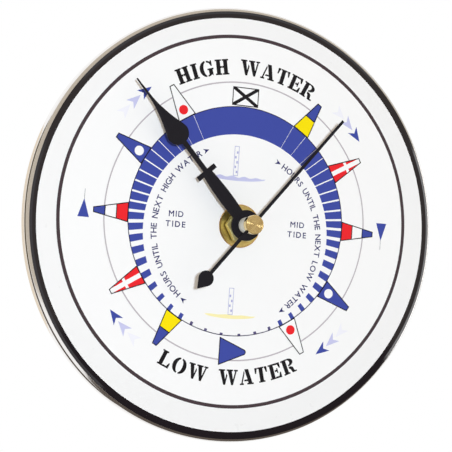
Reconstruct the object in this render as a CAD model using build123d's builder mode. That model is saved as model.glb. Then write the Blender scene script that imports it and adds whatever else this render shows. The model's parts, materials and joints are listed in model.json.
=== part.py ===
from build123d import *

import os
from math import cos, hypot, radians, sin

# Wall tide clock: a printed round disc clamped on a battery movement that drives a tide hand, one
# turn in 12 h 25 min, and a seconds hand. Millimetres. X points right, Z up, and the dial faces -Y.
# The hands turn about the Y axis. The origin is on that axis, on the movement's back face, which
# lies against the wall, so a depth below is a distance from the wall towards the viewer.

# Dial disc, clamped a little high and to the left on the stem, and what is stuck on its face
disc_radius = 80.0
disc_thickness = 5.0
disc_left = 0.8
disc_rise = 0.75
print_bevel_width = 0.9
print_bevel_drop = 0.25
rim_bevel_width = 0.7
rim_bevel_drop = 0.37
rim_corner = 0.5
film_thickness = 0.15
sheet_radius = 68.75
sheet_thickness = 0.15
sheet_rise = 1.08

# Battery, a standard AA cell, which sets the size of the movement's case
battery_radius = 7.25
battery_length = 50.5
battery_crimp = 0.8
nub_radius = 2.75
nub_height = 1.0
bay_gap = 0.35
contact_room = 1.25
contact_thickness = 0.3
contact_width = 4.0
contact_gap = 0.05
notch_gap = 0.2

# Movement case
case_wall = 1.5
front_wall = 1.3
case_corner = 2.5
partition = 1.2
chamber_below = 10.1
chamber_above = 26.5
cover_recess = 0.3
cover_thickness = 1.2
cover_clearance = 0.15
snap_width = 6.0
snap_spacing = 13.25
snap_depth = 0.8
snap_inset = 0.4
snap_clearance = 0.1
shelf_width = 4.0
shelf_reach = 1.2
shelf_height = 2.5
hanger_radius = 7.0
hanger_base = 20.0
hanger_thickness = 2.5
hanger_rise = 8.0
hanger_hole_radius = 2.75

# Stem, clamp and hub, from the dial's face forward
stem_radius = 4.0
stem_clearance = 0.15
thread_clearance = 0.05
gasket_radius = 10.0
gasket_thickness = 1.0
washer_radius = 8.0
washer_thickness = 0.6
nut_across_flats = 11.0
nut_thickness = 4.0
nut_corner_slope = 0.5
stem_proud = 0.4
pipe_radius = 2.5
pipe_bore_radius = 1.2
seat_clearance = 0.02
collet_radius = 3.4
collet_thickness = 1.1
blade_thickness = 0.5
eye_radius = 5.65
bush_radius = 3.0
bush_length = 5.75
bush_bearing = 2.6
seconds_thickness = 0.4
cap_radius = 3.5
cap_length = 1.8
cap_edge = 0.25
spigot_radius = 1.1
running_gap = 0.3

# Tide hand, by distance from the axis
tide_hand_angle = 318.0
tide_hand_length = 66.6
leaf_half_width = 2.5
leaf_root_half_width = 2.05
leaf_end_half_width = 1.8
bar_distance = 24.4
bar_length = 8.4
bar_width = 1.8
neck_half_width = 0.92
spade_distance = 41.7
spade_half_width = 4.2
spade_round = 3.7
shoulder_distance = 45.0
shoulder_half_width = 3.4
flare_distance = 50.0
flare_half_width = 1.85
taper_distance = 54.0
taper_half_width = 0.97
tip_start = 59.0
tip_start_half_width = 0.45
tip_half_width = 0.22

# Seconds hand
seconds_hand_angle = 39.8
seconds_hand_length = 53.0
seconds_half_width = 0.66
seconds_tip_half_width = 0.52
seconds_eye_radius = 2.3
drop_distance = 26.4
drop_radius = 2.85
drop_point = 31.2
drop_point_radius = 0.2

# Wheel train
pivot_radius = 0.4
arbor_radius = 0.55
centre_arbor_radius = 0.6
pivot_clearance = 0.05
boss_radius = 1.4
boss_height = 0.8
pivot_length = 0.9
end_shake = 0.1
wheel_thickness = 0.8
pinion_lead = 0.3
layer_gap = 0.5
slip_gap = 0.05
spring_thickness = 0.3
spring_reach = 5.0
spring_leg_width = 1.4
spring_legs = 3
clutch_hub_radius = 1.3
flange_radius = 3.0
flange_thickness = 0.45
journal_radius = 1.9
bridge_thickness = 0.8
bridge_margin = 2.4
bridge_side_gap = 1.9
bridge_end_gap = 0.6
bridge_corner = 1.0
shoulder_rise = 4.7
tide_wheel_thickness = 1.0
spoke_count = 4
wheel_rim = 1.2

rotor_teeth, fifth_teeth, rotor_module = 8, 40, 0.20
fifth_pinion_teeth, seconds_teeth, fifth_module = 10, 60, 0.28
seconds_pinion_teeth, third_teeth, third_module = 8, 64, 0.27
third_pinion_teeth, centre_teeth = 8, 60
centre_pinion_teeth, transfer_teeth, transfer_module = 11, 41, 0.30
transfer_pinion_teeth, tide_teeth = 9, 30
setting_teeth = 12

fifth_direction = -9.0
rotor_direction = -5.0
third_direction = 180.0
transfer_direction = 90.0
setting_direction = 90.0

# Tooth flanks: height above the pitch circle in modules, half thickness as a share of a tooth's pitch
wheel_flank = ((-1.05, 0.27), (0.75, 0.10))
pinion_flank = ((-1.05, 0.23), (0.0, 0.19), (0.75, 0.085))
pinion_limit = 12
addendum = 0.75

# Motor and electronics
magnet_radius = 3.0
magnet_thickness = 1.6
rotor_gap = 0.6
stator_ring = 1.2
stator_thickness = 0.8
stator_leg_width = 3.2
core_width = 3.0
core_thickness = 0.8
bobbin_wall = 0.6
bobbin_length = 15.4
bobbin_flange = 0.8
bobbin_half_width = 3.9
bobbin_half_depth = 3.2
bobbin_corner = 1.0
winding_inset = 0.5
winding_corner = 1.8
coil_margin = 1.3
coil_offset = 6.8
coil_screw_gap = 1.5
motor_screw_rise = 2.2
board_width = 21.5
board_height = 10.0
board_thickness = 1.0
board_gap = 0.1
board_post_inset = 2.5
chip_radius = 2.6
chip_height = 0.9
chip_right = 3.6
chip_drop = 1.0
crystal_radius = 1.05
crystal_length = 6.2
crystal_left = 5.4
crystal_rise = 1.5

# Screws through the bridge
screw_radius = 0.75
screw_head_radius = 1.5
screw_head_height = 0.9
screw_length = 5.0
screw_clearance = 0.1
post_radius = 1.8

# Setting knob
knob_radius = 5.0
knob_thickness = 2.6
knob_recess = 0.5
knob_gap = 0.6
knob_floor_gap = 0.4
knob_flutes = 16
knob_flute_radius = 0.5
cup_wall = 1.0
setting_arbor_radius = 0.8


def pitch_radius(teeth, module):
    return teeth * module / 2


def tip_radius(teeth, module):
    return pitch_radius(teeth, module) + addendum * module


def step(start, distance, direction):
    """Point at a distance from a start, by direction in degrees, seen from the front."""
    angle = radians(direction)
    return (start[0] + distance * cos(angle), start[1] + distance * sin(angle))


# Axes of the train, as (x, z)
hand_axis = (0.0, 0.0)
fifth_distance = pitch_radius(fifth_pinion_teeth + seconds_teeth, fifth_module)
fifth_axis = step(hand_axis, fifth_distance, fifth_direction)
rotor_axis = step(fifth_axis, pitch_radius(rotor_teeth + fifth_teeth, rotor_module), rotor_direction)
third_distance = pitch_radius(seconds_pinion_teeth + third_teeth, third_module)
third_axis = step(hand_axis, third_distance, third_direction)
centre_module = 2 * third_distance / (third_pinion_teeth + centre_teeth)
transfer_distance = pitch_radius(centre_pinion_teeth + transfer_teeth, transfer_module)
transfer_axis = step(hand_axis, transfer_distance, transfer_direction)
tide_module = 2 * transfer_distance / (transfer_pinion_teeth + tide_teeth)
setting_distance = pitch_radius(transfer_teeth + setting_teeth, transfer_module)
setting_axis = step(transfer_axis, setting_distance, setting_direction)

# Case, wide enough for the cell and for the motor's coil, and as deep as the cell
coil_x = rotor_axis[0] + coil_offset
bay_half = battery_radius + bay_gap
case_depth = 2 * bay_half + front_wall
inner_half_width = max(battery_length / 2 + contact_room, coil_x + bobbin_half_width + coil_margin)
case_width = 2 * (inner_half_width + case_wall)
case_top = chamber_above + case_wall
bay_top = -(chamber_below + partition)
bay_middle = bay_top - bay_half
case_bottom = bay_top - 2 * bay_half - case_wall
inner_front = case_depth - front_wall
contact_back = bay_half - contact_width / 2
hanger_height = case_top + hanger_rise

# Depths of the dial stack and the hub
disc_back = case_depth + gasket_thickness
disc_front = disc_back + disc_thickness
film_front = disc_front + film_thickness
face = film_front + sheet_thickness
washer_front = face + washer_thickness
nut_front = washer_front + nut_thickness
stem_end = nut_front + stem_proud
collet_back = stem_end + running_gap
blade_back = collet_back + collet_thickness
blade_front = blade_back + blade_thickness
bush_front = blade_front + bush_length
pipe_end = bush_front - bush_bearing
seconds_back = bush_front + running_gap
seconds_front = seconds_back + seconds_thickness
cap_front = seconds_front + cap_length
stem_hole_radius = stem_radius + stem_clearance
disc_spot = (-disc_left, disc_rise)
disc_hole_radius = stem_hole_radius + hypot(disc_left, disc_rise)

# Depths of the wheel layers, from the cover forward
cover_front = cover_recess + cover_thickness
boss_face = cover_front + boss_height
arbor_back = boss_face + end_shake
fifth_pinion_back = arbor_back + pinion_lead
seconds_wheel_back = fifth_pinion_back + pinion_lead
seconds_wheel_front = seconds_wheel_back + wheel_thickness
upper_wheel_back = seconds_wheel_front + layer_gap
upper_wheel_front = upper_wheel_back + wheel_thickness
seconds_pinion_front = upper_wheel_front + pinion_lead
clutch_back = seconds_pinion_front + 2 * end_shake
spring_back = clutch_back + 2 * end_shake
spring_front = spring_back + spring_thickness
centre_wheel_back = spring_front + slip_gap
centre_wheel_front = centre_wheel_back + wheel_thickness
flange_back = centre_wheel_front + slip_gap
flange_front = flange_back + flange_thickness
bridge_back = flange_front + end_shake
bridge_front = bridge_back + bridge_thickness
journal_front = bridge_front + end_shake
transfer_wheel_back = bridge_front + layer_gap
transfer_wheel_front = transfer_wheel_back + wheel_thickness
centre_pinion_front = transfer_wheel_front + pinion_lead
tide_wheel_back = centre_pinion_front + layer_gap
tide_wheel_front = tide_wheel_back + tide_wheel_thickness
transfer_pinion_front = tide_wheel_front + pinion_lead
stem_back = tide_wheel_front + running_gap
front_boss_face = inner_front - boss_height
magnet_back = upper_wheel_front + layer_gap
stator_back = magnet_back + (magnet_thickness - stator_thickness) / 2
stator_front = stator_back + stator_thickness
core_back = stator_back - core_thickness
board_back = transfer_wheel_back
board_front = board_back + board_thickness
cup_floor_back = knob_recess + knob_thickness + knob_floor_gap
cup_floor_front = cup_floor_back + cup_wall


def mesh_phase(driver_teeth, driver_phase, teeth, direction):
    """Angle of a tooth that puts a gear in mesh with its driver, which lies opposite the direction."""
    return direction + 180 + 180 / teeth - (driver_phase - direction) * driver_teeth / teeth


fifth_phase = mesh_phase(seconds_teeth, 0, fifth_pinion_teeth, fifth_direction)
rotor_phase = mesh_phase(fifth_teeth, fifth_phase, rotor_teeth, rotor_direction)
third_phase = mesh_phase(seconds_pinion_teeth, 0, third_teeth, third_direction)
centre_phase = mesh_phase(third_pinion_teeth, third_phase, centre_teeth, third_direction + 180)
transfer_phase = mesh_phase(tide_teeth, 0, transfer_pinion_teeth, transfer_direction)
centre_pinion_phase = mesh_phase(
    transfer_teeth, transfer_phase, centre_pinion_teeth, transfer_direction + 180
)
setting_phase = mesh_phase(transfer_teeth, transfer_phase, setting_teeth, setting_direction)

# Motor places, as (x, z)
stator_reach = magnet_radius + rotor_gap + stator_ring
lower_screw = (coil_x, rotor_axis[1] + motor_screw_rise)
coil_bottom = lower_screw[1] + post_radius + coil_screw_gap
coil_top = coil_bottom + bobbin_length
upper_screw = (coil_x, coil_top + post_radius + coil_screw_gap)
leg_x = coil_x - bobbin_half_width - stator_leg_width / 2 - running_gap
leg_corner = (leg_x, upper_screw[1])

# Bridge outline and its four screws
bridge_left = third_axis[0] - tip_radius(third_teeth, third_module) - bridge_margin
bridge_right = inner_half_width - bridge_side_gap
bridge_bottom = bridge_end_gap - chamber_below
bridge_shoulder = transfer_axis[1] + shoulder_rise
bridge_top = upper_screw[1] + bridge_margin
left_screw_x = bridge_left + bridge_margin
left_screws = [
    (left_screw_x, bridge_bottom + bridge_margin),
    (left_screw_x, bridge_shoulder - bridge_margin),
]
motor_screws = [lower_screw, upper_screw]

# Circuit board, in the upper left of the chamber
board_left = -inner_half_width + contact_thickness + board_gap
board_top = chamber_above - contact_thickness - board_gap
board_middle = (board_left + board_width / 2, board_top - board_height / 2)
board_posts = [
    (board_left + board_post_inset, board_top - board_height + board_post_inset),
    (board_left + board_width - board_post_inset, board_top - board_post_inset),
]


def at_depth(depth, spot=hand_axis):
    """Plane facing the viewer at a depth from the wall: local x is X, local y is Z."""
    return Plane(origin=(spot[0], -depth, spot[1]), x_dir=(1, 0, 0), z_dir=(0, -1, 0))


def hand_plane(depth, clock_angle):
    """Plane facing the viewer whose local y points along a hand, clockwise from twelve."""
    angle = radians(clock_angle)
    return Plane(origin=(0, -depth, 0), x_dir=(cos(angle), 0, -sin(angle)), z_dir=(0, -1, 0))


def turned(points, spot=hand_axis):
    """Piece turned about an axis along Y, from (radius, depth) corners of its half section."""
    section = Plane(origin=(spot[0], 0, spot[1]), x_dir=(1, 0, 0), z_dir=(0, 0, 1))
    with BuildPart() as piece:
        with BuildSketch(section):
            with BuildLine():
                Polyline([(radius, -depth) for radius, depth in points], close=True)
            make_face()
        revolve(axis=Axis((spot[0], 0, spot[1]), (0, 1, 0)))
    return piece.part


def disc(radius, back, front, spot=hand_axis, bore=0.0):
    """Plain round piece between two depths."""
    with BuildPart() as piece:
        with BuildSketch(at_depth(back, spot)):
            Circle(radius)
            if bore > 0:
                Circle(bore, mode=Mode.SUBTRACT)
        extrude(amount=front - back)
    return piece.part


def tooth_outline(teeth, module, phase):
    """Corners of a toothed outline, with one tooth's middle at the phase angle in degrees."""
    flank = pinion_flank if teeth <= pinion_limit else wheel_flank
    pitch_angle = 360 / teeth
    corners = []
    for tooth in range(teeth):
        middle = phase + tooth * pitch_angle
        rising = [(height, -share) for height, share in flank]
        falling = [(height, share) for height, share in reversed(flank)]
        for height, share in rising + falling:
            radius = pitch_radius(teeth, module) + height * module
            corners.append(step((0, 0), radius, middle + share * pitch_angle))
    return corners


def gear(teeth, module, back, front, spot, phase, bore=0.0):
    """Toothed blank between two depths."""
    with BuildPart() as piece:
        with BuildSketch(at_depth(back, spot)):
            with BuildLine():
                Polyline(tooth_outline(teeth, module, phase), close=True)
            make_face()
            if bore > 0:
                Circle(bore, mode=Mode.SUBTRACT)
        extrude(amount=front - back)
    return piece.part


def crossings(teeth, module, hub, back, front, spot):
    """Windows between the spokes of a wheel, to be cut out of its web."""
    outer = pitch_radius(teeth, module) - wheel_rim
    with BuildPart() as piece:
        with BuildSketch(at_depth(back, spot)):
            Circle(outer)
            Circle(hub, mode=Mode.SUBTRACT)
            with PolarLocations(0, spoke_count):
                Rectangle(2 * outer, wheel_rim, mode=Mode.SUBTRACT)
        extrude(amount=front - back)
    return piece.part


def arbor(back, front, spot):
    """Plain arbor with a thinner pivot at each end."""
    return turned(
        [
            (0, back - pivot_length),
            (pivot_radius, back - pivot_length),
            (pivot_radius, back),
            (arbor_radius, back),
            (arbor_radius, front),
            (pivot_radius, front),
            (pivot_radius, front + pivot_length),
            (0, front + pivot_length),
        ],
        spot,
    )


# Dial disc: flat face, a gentle bevel under the print's edge, then the polished bevel
flat_radius = disc_radius - rim_bevel_width - print_bevel_width - rim_corner
film_radius = flat_radius + print_bevel_width
bevel_radius = film_radius + rim_bevel_width
bevel_depth = disc_front - print_bevel_drop - rim_bevel_drop
dial_disc = turned(
    [
        (disc_hole_radius, disc_back),
        (disc_radius - rim_corner, disc_back),
        (disc_radius, disc_back + rim_corner),
        (disc_radius, bevel_depth - rim_corner),
        (bevel_radius, bevel_depth),
        (film_radius, disc_front - print_bevel_drop),
        (flat_radius, disc_front),
        (disc_hole_radius, disc_front),
    ],
    disc_spot,
)

# Printed film over the whole face, bent down over the gentle bevel
face_film = turned(
    [
        (disc_hole_radius, disc_front),
        (flat_radius, disc_front),
        (film_radius, disc_front - print_bevel_drop),
        (film_radius, film_front - print_bevel_drop),
        (flat_radius, film_front),
        (disc_hole_radius, film_front),
    ],
    disc_spot,
)

# Round printed dial sheet, set a little high on the film
with BuildPart() as dial_sheet:
    with BuildSketch(at_depth(film_front, disc_spot)):
        with Locations((0, sheet_rise)):
            Circle(sheet_radius)
        Circle(disc_hole_radius, mode=Mode.SUBTRACT)
    extrude(amount=sheet_thickness)

gasket = disc(gasket_radius, case_depth, disc_back, bore=stem_hole_radius)

with BuildPart() as brass_washer:
    add(disc(washer_radius, face, washer_front, bore=stem_hole_radius))
    rim_edges = brass_washer.edges().filter_by(GeomType.CIRCLE).sort_by(SortBy.RADIUS)[-2:]
    chamfer(rim_edges.sort_by(Axis.Y)[0], washer_thickness / 3)

# Hexagon nut with its front corners turned off
nut_corner_radius = nut_across_flats / (2 * cos(radians(30)))
nut_corner_drop = (nut_corner_radius - nut_across_flats / 2) * nut_corner_slope
with BuildPart() as hex_nut:
    with BuildSketch(at_depth(washer_front)):
        RegularPolygon(nut_across_flats / 2, 6, major_radius=False)
        Circle(stem_radius + thread_clearance, mode=Mode.SUBTRACT)
    extrude(amount=nut_thickness)
    add(
        turned(
            [
                (nut_across_flats / 2, nut_front),
                (nut_corner_radius, nut_front - nut_corner_drop),
                (nut_corner_radius + nut_corner_drop, nut_front - nut_corner_drop),
                (nut_corner_radius + nut_corner_drop, nut_front),
            ]
        ),
        mode=Mode.SUBTRACT,
    )

# Front half of the movement: case, stem, hanger, and the posts that carry what is inside
with BuildPart() as front_housing:
    with BuildSketch(at_depth(0)):
        with Locations((0, (case_top + case_bottom) / 2)):
            RectangleRounded(case_width, case_top - case_bottom, case_corner)
    extrude(amount=case_depth)
    with BuildSketch(at_depth(0)):
        with Locations((0, (chamber_above - chamber_below) / 2)):
            Rectangle(2 * inner_half_width, chamber_above + chamber_below)
        with Locations((0, bay_middle)):
            Rectangle(2 * inner_half_width, 2 * bay_half)
    extrude(amount=inner_front, mode=Mode.SUBTRACT)
    with BuildSketch(at_depth(contact_back - notch_gap)):
        for side in (-1, 1):
            with Locations((side * (inner_half_width - contact_thickness), bay_top + partition / 2)):
                Rectangle(2 * contact_thickness, partition)
    extrude(amount=contact_width + 2 * notch_gap, mode=Mode.SUBTRACT)
    with BuildSketch(at_depth(snap_inset - snap_clearance)):
        with GridLocations(case_width, snap_spacing, 2, 2):
            Rectangle(2 * (case_wall + cover_clearance), snap_width + 2 * snap_clearance)
    extrude(amount=snap_depth + 2 * snap_clearance, mode=Mode.SUBTRACT)
    with BuildSketch(at_depth(cover_front)):
        for side in (-1, 1):
            with Locations((side * inner_half_width / 2, chamber_above - shelf_reach / 2)):
                Rectangle(shelf_width, shelf_reach)
            with Locations((side * inner_half_width / 2, shelf_reach / 2 - chamber_below)):
                Rectangle(shelf_width, shelf_reach)
    extrude(amount=shelf_height)
    with BuildSketch(at_depth(bridge_front)):
        with Locations(*left_screws, *motor_screws):
            Circle(post_radius)
    extrude(amount=inner_front - bridge_front)
    with BuildSketch(at_depth(board_front)):
        with Locations(*board_posts):
            Circle(boss_radius)
    extrude(amount=inner_front - board_front)
    with BuildSketch(at_depth(front_boss_face)):
        with Locations(transfer_axis, setting_axis):
            Circle(boss_radius)
    extrude(amount=boss_height)
    with BuildSketch(at_depth(front_boss_face)):
        with Locations(transfer_axis, setting_axis):
            Circle(pivot_radius + pivot_clearance)
    extrude(amount=pivot_length + end_shake, mode=Mode.SUBTRACT)
    with BuildSketch(at_depth(bridge_front)):
        with Locations(*left_screws, *motor_screws):
            Circle(screw_radius + thread_clearance)
    extrude(amount=screw_length, mode=Mode.SUBTRACT)
    with BuildSketch(at_depth(stem_back)):
        Circle(stem_radius)
    extrude(amount=stem_end - stem_back)
    with BuildSketch(at_depth(stem_back)):
        Circle(pipe_radius + pivot_clearance)
    extrude(amount=stem_end - stem_back, mode=Mode.SUBTRACT)
    with BuildSketch(at_depth(0)):
        with Locations((0, case_top - case_wall / 2)):
            Rectangle(hanger_base, case_wall)
        with Locations((0, hanger_height)):
            Circle(hanger_radius)
        make_hull()
        with Locations((0, hanger_height)):
            Circle(hanger_hole_radius, mode=Mode.SUBTRACT)
    extrude(amount=hanger_thickness)

# Rear cover, sunk in the case, with a cup for the knob and a bearing boss for each rear pivot
cover_bottom = -chamber_below + cover_clearance
cover_top = chamber_above - cover_clearance
cover_half_width = inner_half_width - cover_clearance
rear_pivots = [hand_axis, fifth_axis, rotor_axis, third_axis]
with BuildPart() as rear_cover:
    with BuildSketch(at_depth(cover_recess)):
        with Locations((0, (cover_top + cover_bottom) / 2)):
            Rectangle(2 * cover_half_width, cover_top - cover_bottom)
    extrude(amount=cover_thickness)
    with BuildSketch(at_depth(snap_inset)):
        with GridLocations(2 * cover_half_width, snap_spacing, 2, 2):
            Rectangle(2 * case_wall, snap_width)
    extrude(amount=snap_depth)
    with BuildSketch(at_depth(cover_recess)):
        with Locations(setting_axis):
            Circle(knob_radius + knob_gap + cup_wall)
    extrude(amount=cup_floor_front - cover_recess)
    with BuildSketch(at_depth(cover_recess)):
        with Locations(setting_axis):
            Circle(knob_radius + knob_gap)
    extrude(amount=cup_floor_back - cover_recess, mode=Mode.SUBTRACT)
    with BuildSketch(at_depth(cover_front)):
        with Locations(*rear_pivots):
            Circle(boss_radius)
    extrude(amount=boss_height)
    with BuildSketch(at_depth(boss_face)):
        with Locations(*rear_pivots):
            Circle(pivot_radius + pivot_clearance)
    extrude(amount=-(pivot_length + end_shake), mode=Mode.SUBTRACT)
    with BuildSketch(at_depth(cup_floor_back)):
        with Locations(setting_axis):
            Circle(setting_arbor_radius + pivot_clearance)
    extrude(amount=cup_wall, mode=Mode.SUBTRACT)

# Train bridge on four posts, notched round the coil, with a seat for the motor's plate
notch_reach = bridge_right - coil_x + bobbin_half_width + running_gap
with BuildPart() as train_bridge:
    with BuildSketch(at_depth(bridge_back)):
        with BuildLine():
            Polyline(
                [
                    (bridge_left, bridge_bottom),
                    (bridge_right, bridge_bottom),
                    (bridge_right, bridge_top),
                    (leg_x - stator_leg_width, bridge_top),
                    (leg_x - stator_leg_width, bridge_shoulder),
                    (bridge_left, bridge_shoulder),
                ],
                close=True,
            )
        make_face()
        with Locations((bridge_right, (coil_bottom + coil_top) / 2)):
            Rectangle(2 * notch_reach, bobbin_length + 2 * running_gap, mode=Mode.SUBTRACT)
    extrude(amount=bridge_thickness)
    fillet(train_bridge.edges().filter_by(Axis.Y), bridge_corner)
    with BuildSketch(at_depth(stator_front)):
        with Locations(*motor_screws):
            Circle(post_radius)
    extrude(amount=bridge_back - stator_front)
    with BuildSketch(at_depth(stator_front)):
        with Locations(*left_screws, *motor_screws):
            Circle(screw_radius + screw_clearance)
        with Locations(fifth_axis, rotor_axis, third_axis, transfer_axis):
            Circle(pivot_radius + pivot_clearance)
        Circle(journal_radius + pivot_clearance)
    extrude(amount=bridge_front - stator_front, mode=Mode.SUBTRACT)

# Stepping motor: stator plate, coil core, bobbin and winding
stator_legs = [(rotor_axis, lower_screw), (rotor_axis, leg_corner), (leg_corner, upper_screw)]
with BuildPart() as stator:
    with BuildSketch(at_depth(stator_back)):
        with Locations(rotor_axis):
            Circle(stator_reach)
        for leg_start, leg_end in stator_legs:
            with BuildLine():
                Line(leg_start, leg_end)
            trace(line_width=stator_leg_width)
        with Locations(lower_screw, leg_corner, upper_screw):
            Circle(stator_leg_width / 2)
        with Locations(rotor_axis):
            Circle(magnet_radius + rotor_gap, mode=Mode.SUBTRACT)
        with Locations(fifth_axis):
            Circle(arbor_radius + running_gap, mode=Mode.SUBTRACT)
        with Locations(*motor_screws):
            Circle(screw_radius + screw_clearance, mode=Mode.SUBTRACT)
    extrude(amount=stator_thickness)

with BuildPart() as coil_core:
    with BuildSketch(at_depth(core_back)):
        with Locations((coil_x, (lower_screw[1] + upper_screw[1]) / 2)):
            SlotCenterToCenter(upper_screw[1] - lower_screw[1], core_width, rotation=90)
        with Locations(*motor_screws):
            Circle(screw_radius + screw_clearance, mode=Mode.SUBTRACT)
    extrude(amount=core_thickness)

core_middle = core_back + core_thickness / 2
tube_half_width = core_width / 2 + bobbin_wall
tube_half_depth = core_thickness / 2 + bobbin_wall
winding_half_width = bobbin_half_width - winding_inset
winding_half_depth = bobbin_half_depth - winding_inset


def across_coil(height):
    """Level plane through the coil at a height: local x is X, local y is Y."""
    return Plane(origin=(coil_x, -core_middle, height), x_dir=(1, 0, 0), z_dir=(0, 0, 1))


with BuildPart() as coil_bobbin:
    with BuildSketch(across_coil(coil_bottom)):
        Rectangle(2 * tube_half_width, 2 * tube_half_depth)
    extrude(amount=bobbin_length)
    with BuildSketch(across_coil(coil_bottom), across_coil(coil_top - bobbin_flange)):
        RectangleRounded(2 * bobbin_half_width, 2 * bobbin_half_depth, bobbin_corner)
    extrude(amount=bobbin_flange)
    with BuildSketch(across_coil(coil_bottom)):
        Rectangle(core_width + 2 * seat_clearance, core_thickness + 2 * seat_clearance)
    extrude(amount=bobbin_length, mode=Mode.SUBTRACT)

with BuildPart() as coil_winding:
    with BuildSketch(across_coil(coil_bottom + bobbin_flange)):
        RectangleRounded(2 * winding_half_width, 2 * winding_half_depth, winding_corner)
        Rectangle(2 * tube_half_width, 2 * tube_half_depth, mode=Mode.SUBTRACT)
    extrude(amount=bobbin_length - 2 * bobbin_flange)

# Circuit board, with the chip under its drop of resin and the crystal in its can
with BuildPart() as circuit_board:
    with BuildSketch(at_depth(board_back)):
        with Locations(board_middle):
            Rectangle(board_width, board_height)
    extrude(amount=board_thickness)

chip_spot = (board_middle[0] + chip_right, board_middle[1] - chip_drop)
chip_sphere = (chip_radius**2 + chip_height**2) / (2 * chip_height)
with BuildPart() as timing_chip:
    with BuildSketch(Plane(origin=(chip_spot[0], 0, chip_spot[1]), x_dir=(1, 0, 0), z_dir=(0, 0, 1))):
        with BuildLine():
            Line((0, chip_height - board_back), (0, -board_back))
            Line((0, -board_back), (chip_radius, -board_back))
            RadiusArc((chip_radius, -board_back), (0, chip_height - board_back), -chip_sphere)
        make_face()
    revolve(axis=Axis((chip_spot[0], 0, chip_spot[1]), (0, 1, 0)))

crystal_start = board_middle[0] - crystal_left - crystal_length / 2
crystal_y = crystal_radius + seat_clearance - board_back
crystal_spot = (crystal_start, crystal_y, board_middle[1] + crystal_rise)
with BuildPart() as quartz_crystal:
    with BuildSketch(Plane(origin=crystal_spot, x_dir=(0, 1, 0), z_dir=(1, 0, 0))):
        Circle(crystal_radius)
    extrude(amount=crystal_length)
    chamfer(quartz_crystal.edges().filter_by(GeomType.CIRCLE), crystal_radius / 4)

# Battery contacts: leaf strips bowed towards the cell, each led up its side wall to the board
contact_x = inner_half_width - contact_thickness / 2
bow_x = battery_length / 2 + contact_gap + contact_thickness / 2
bow_reach = bay_half / 2
contact_foot = bay_middle - 1.5 * bow_reach
with BuildPart() as negative_contact:
    with BuildSketch(at_depth(contact_back)):
        with BuildLine():
            FilletPolyline(
                (-contact_x, contact_foot),
                (-contact_x, bay_middle - bow_reach),
                (-bow_x, bay_middle),
                (-contact_x, bay_middle + bow_reach),
                (-contact_x, board_middle[1]),
                radius=contact_thickness,
            )
        trace(line_width=contact_thickness)
    extrude(amount=contact_width)

with BuildPart() as positive_contact:
    with BuildSketch(at_depth(contact_back)):
        with BuildLine():
            FilletPolyline(
                (contact_x, contact_foot),
                (contact_x, bay_middle - bow_reach),
                (bow_x, bay_middle),
                (contact_x, bay_middle + bow_reach),
                (contact_x, chamber_above - contact_thickness / 2),
                (board_middle[0], chamber_above - contact_thickness / 2),
                radius=contact_thickness,
            )
        trace(line_width=contact_thickness)
    extrude(amount=contact_width)


def across_cell(x):
    """Plane across the cell's length at an x, facing its positive end."""
    return Plane(origin=(x, -bay_half, bay_middle), x_dir=(0, 1, 0), z_dir=(1, 0, 0))


with BuildPart() as battery_can:
    with BuildSketch(across_cell(-battery_length / 2)):
        Circle(battery_radius)
    extrude(amount=battery_length - nub_height)
    chamfer(battery_can.edges().filter_by(GeomType.CIRCLE), battery_crimp)

with BuildPart() as battery_nub:
    with BuildSketch(across_cell(battery_length / 2 - nub_height)):
        Circle(nub_radius)
    extrude(amount=nub_height)
    chamfer(battery_nub.edges().filter_by(GeomType.CIRCLE).sort_by(Axis.X)[-1], nub_height / 3)

# Pan-head screws: two hold the bridge, two clamp the motor's plate and core through it
with BuildPart() as train_screws:
    for spots, seat in ((left_screws, bridge_back), (motor_screws, core_back)):
        with BuildSketch(at_depth(seat - screw_head_height)):
            with Locations(*spots):
                Circle(screw_head_radius)
        extrude(amount=screw_head_height)
        with BuildSketch(at_depth(seat)):
            with Locations(*spots):
                Circle(screw_radius)
        extrude(amount=bridge_front - seat + screw_length - 2 * screw_clearance)

# Wheels that follow the motor
rotor_pinion_back = upper_wheel_back - pinion_lead
rotor_pinion_front = upper_wheel_front + pinion_lead
arbor_front = bridge_back - end_shake
with BuildPart() as rotor_pinion:
    add(gear(rotor_teeth, rotor_module, rotor_pinion_back, rotor_pinion_front, rotor_axis, rotor_phase))
    add(arbor(arbor_back, arbor_front, rotor_axis))

rotor_magnet = disc(
    magnet_radius, magnet_back, magnet_back + magnet_thickness, rotor_axis, arbor_radius + seat_clearance
)

with BuildPart() as fifth_wheel:
    add(gear(fifth_teeth, rotor_module, upper_wheel_back, upper_wheel_front, fifth_axis, fifth_phase))
    add(
        gear(
            fifth_pinion_teeth,
            fifth_module,
            fifth_pinion_back,
            upper_wheel_back,
            fifth_axis,
            fifth_phase,
        )
    )
    add(arbor(arbor_back, arbor_front, fifth_axis))

seconds_bore = centre_arbor_radius + seat_clearance
with BuildPart() as seconds_wheel:
    add(gear(seconds_teeth, fifth_module, seconds_wheel_back, seconds_wheel_front, hand_axis, 0))
    add(
        crossings(
            seconds_teeth, fifth_module, flange_radius, seconds_wheel_back, seconds_wheel_front, hand_axis
        ),
        mode=Mode.SUBTRACT,
    )
    add(gear(seconds_pinion_teeth, third_module, seconds_wheel_front, seconds_pinion_front, hand_axis, 0))
    add(disc(seconds_bore, seconds_wheel_back, seconds_pinion_front), mode=Mode.SUBTRACT)

cap_bore_depth = cap_front - cap_length / 3
seconds_arbor = turned(
    [
        (0, arbor_back - pivot_length),
        (pivot_radius, arbor_back - pivot_length),
        (pivot_radius, arbor_back),
        (centre_arbor_radius, arbor_back),
        (centre_arbor_radius, cap_bore_depth - seat_clearance),
        (0, cap_bore_depth - seat_clearance),
    ]
)

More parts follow.
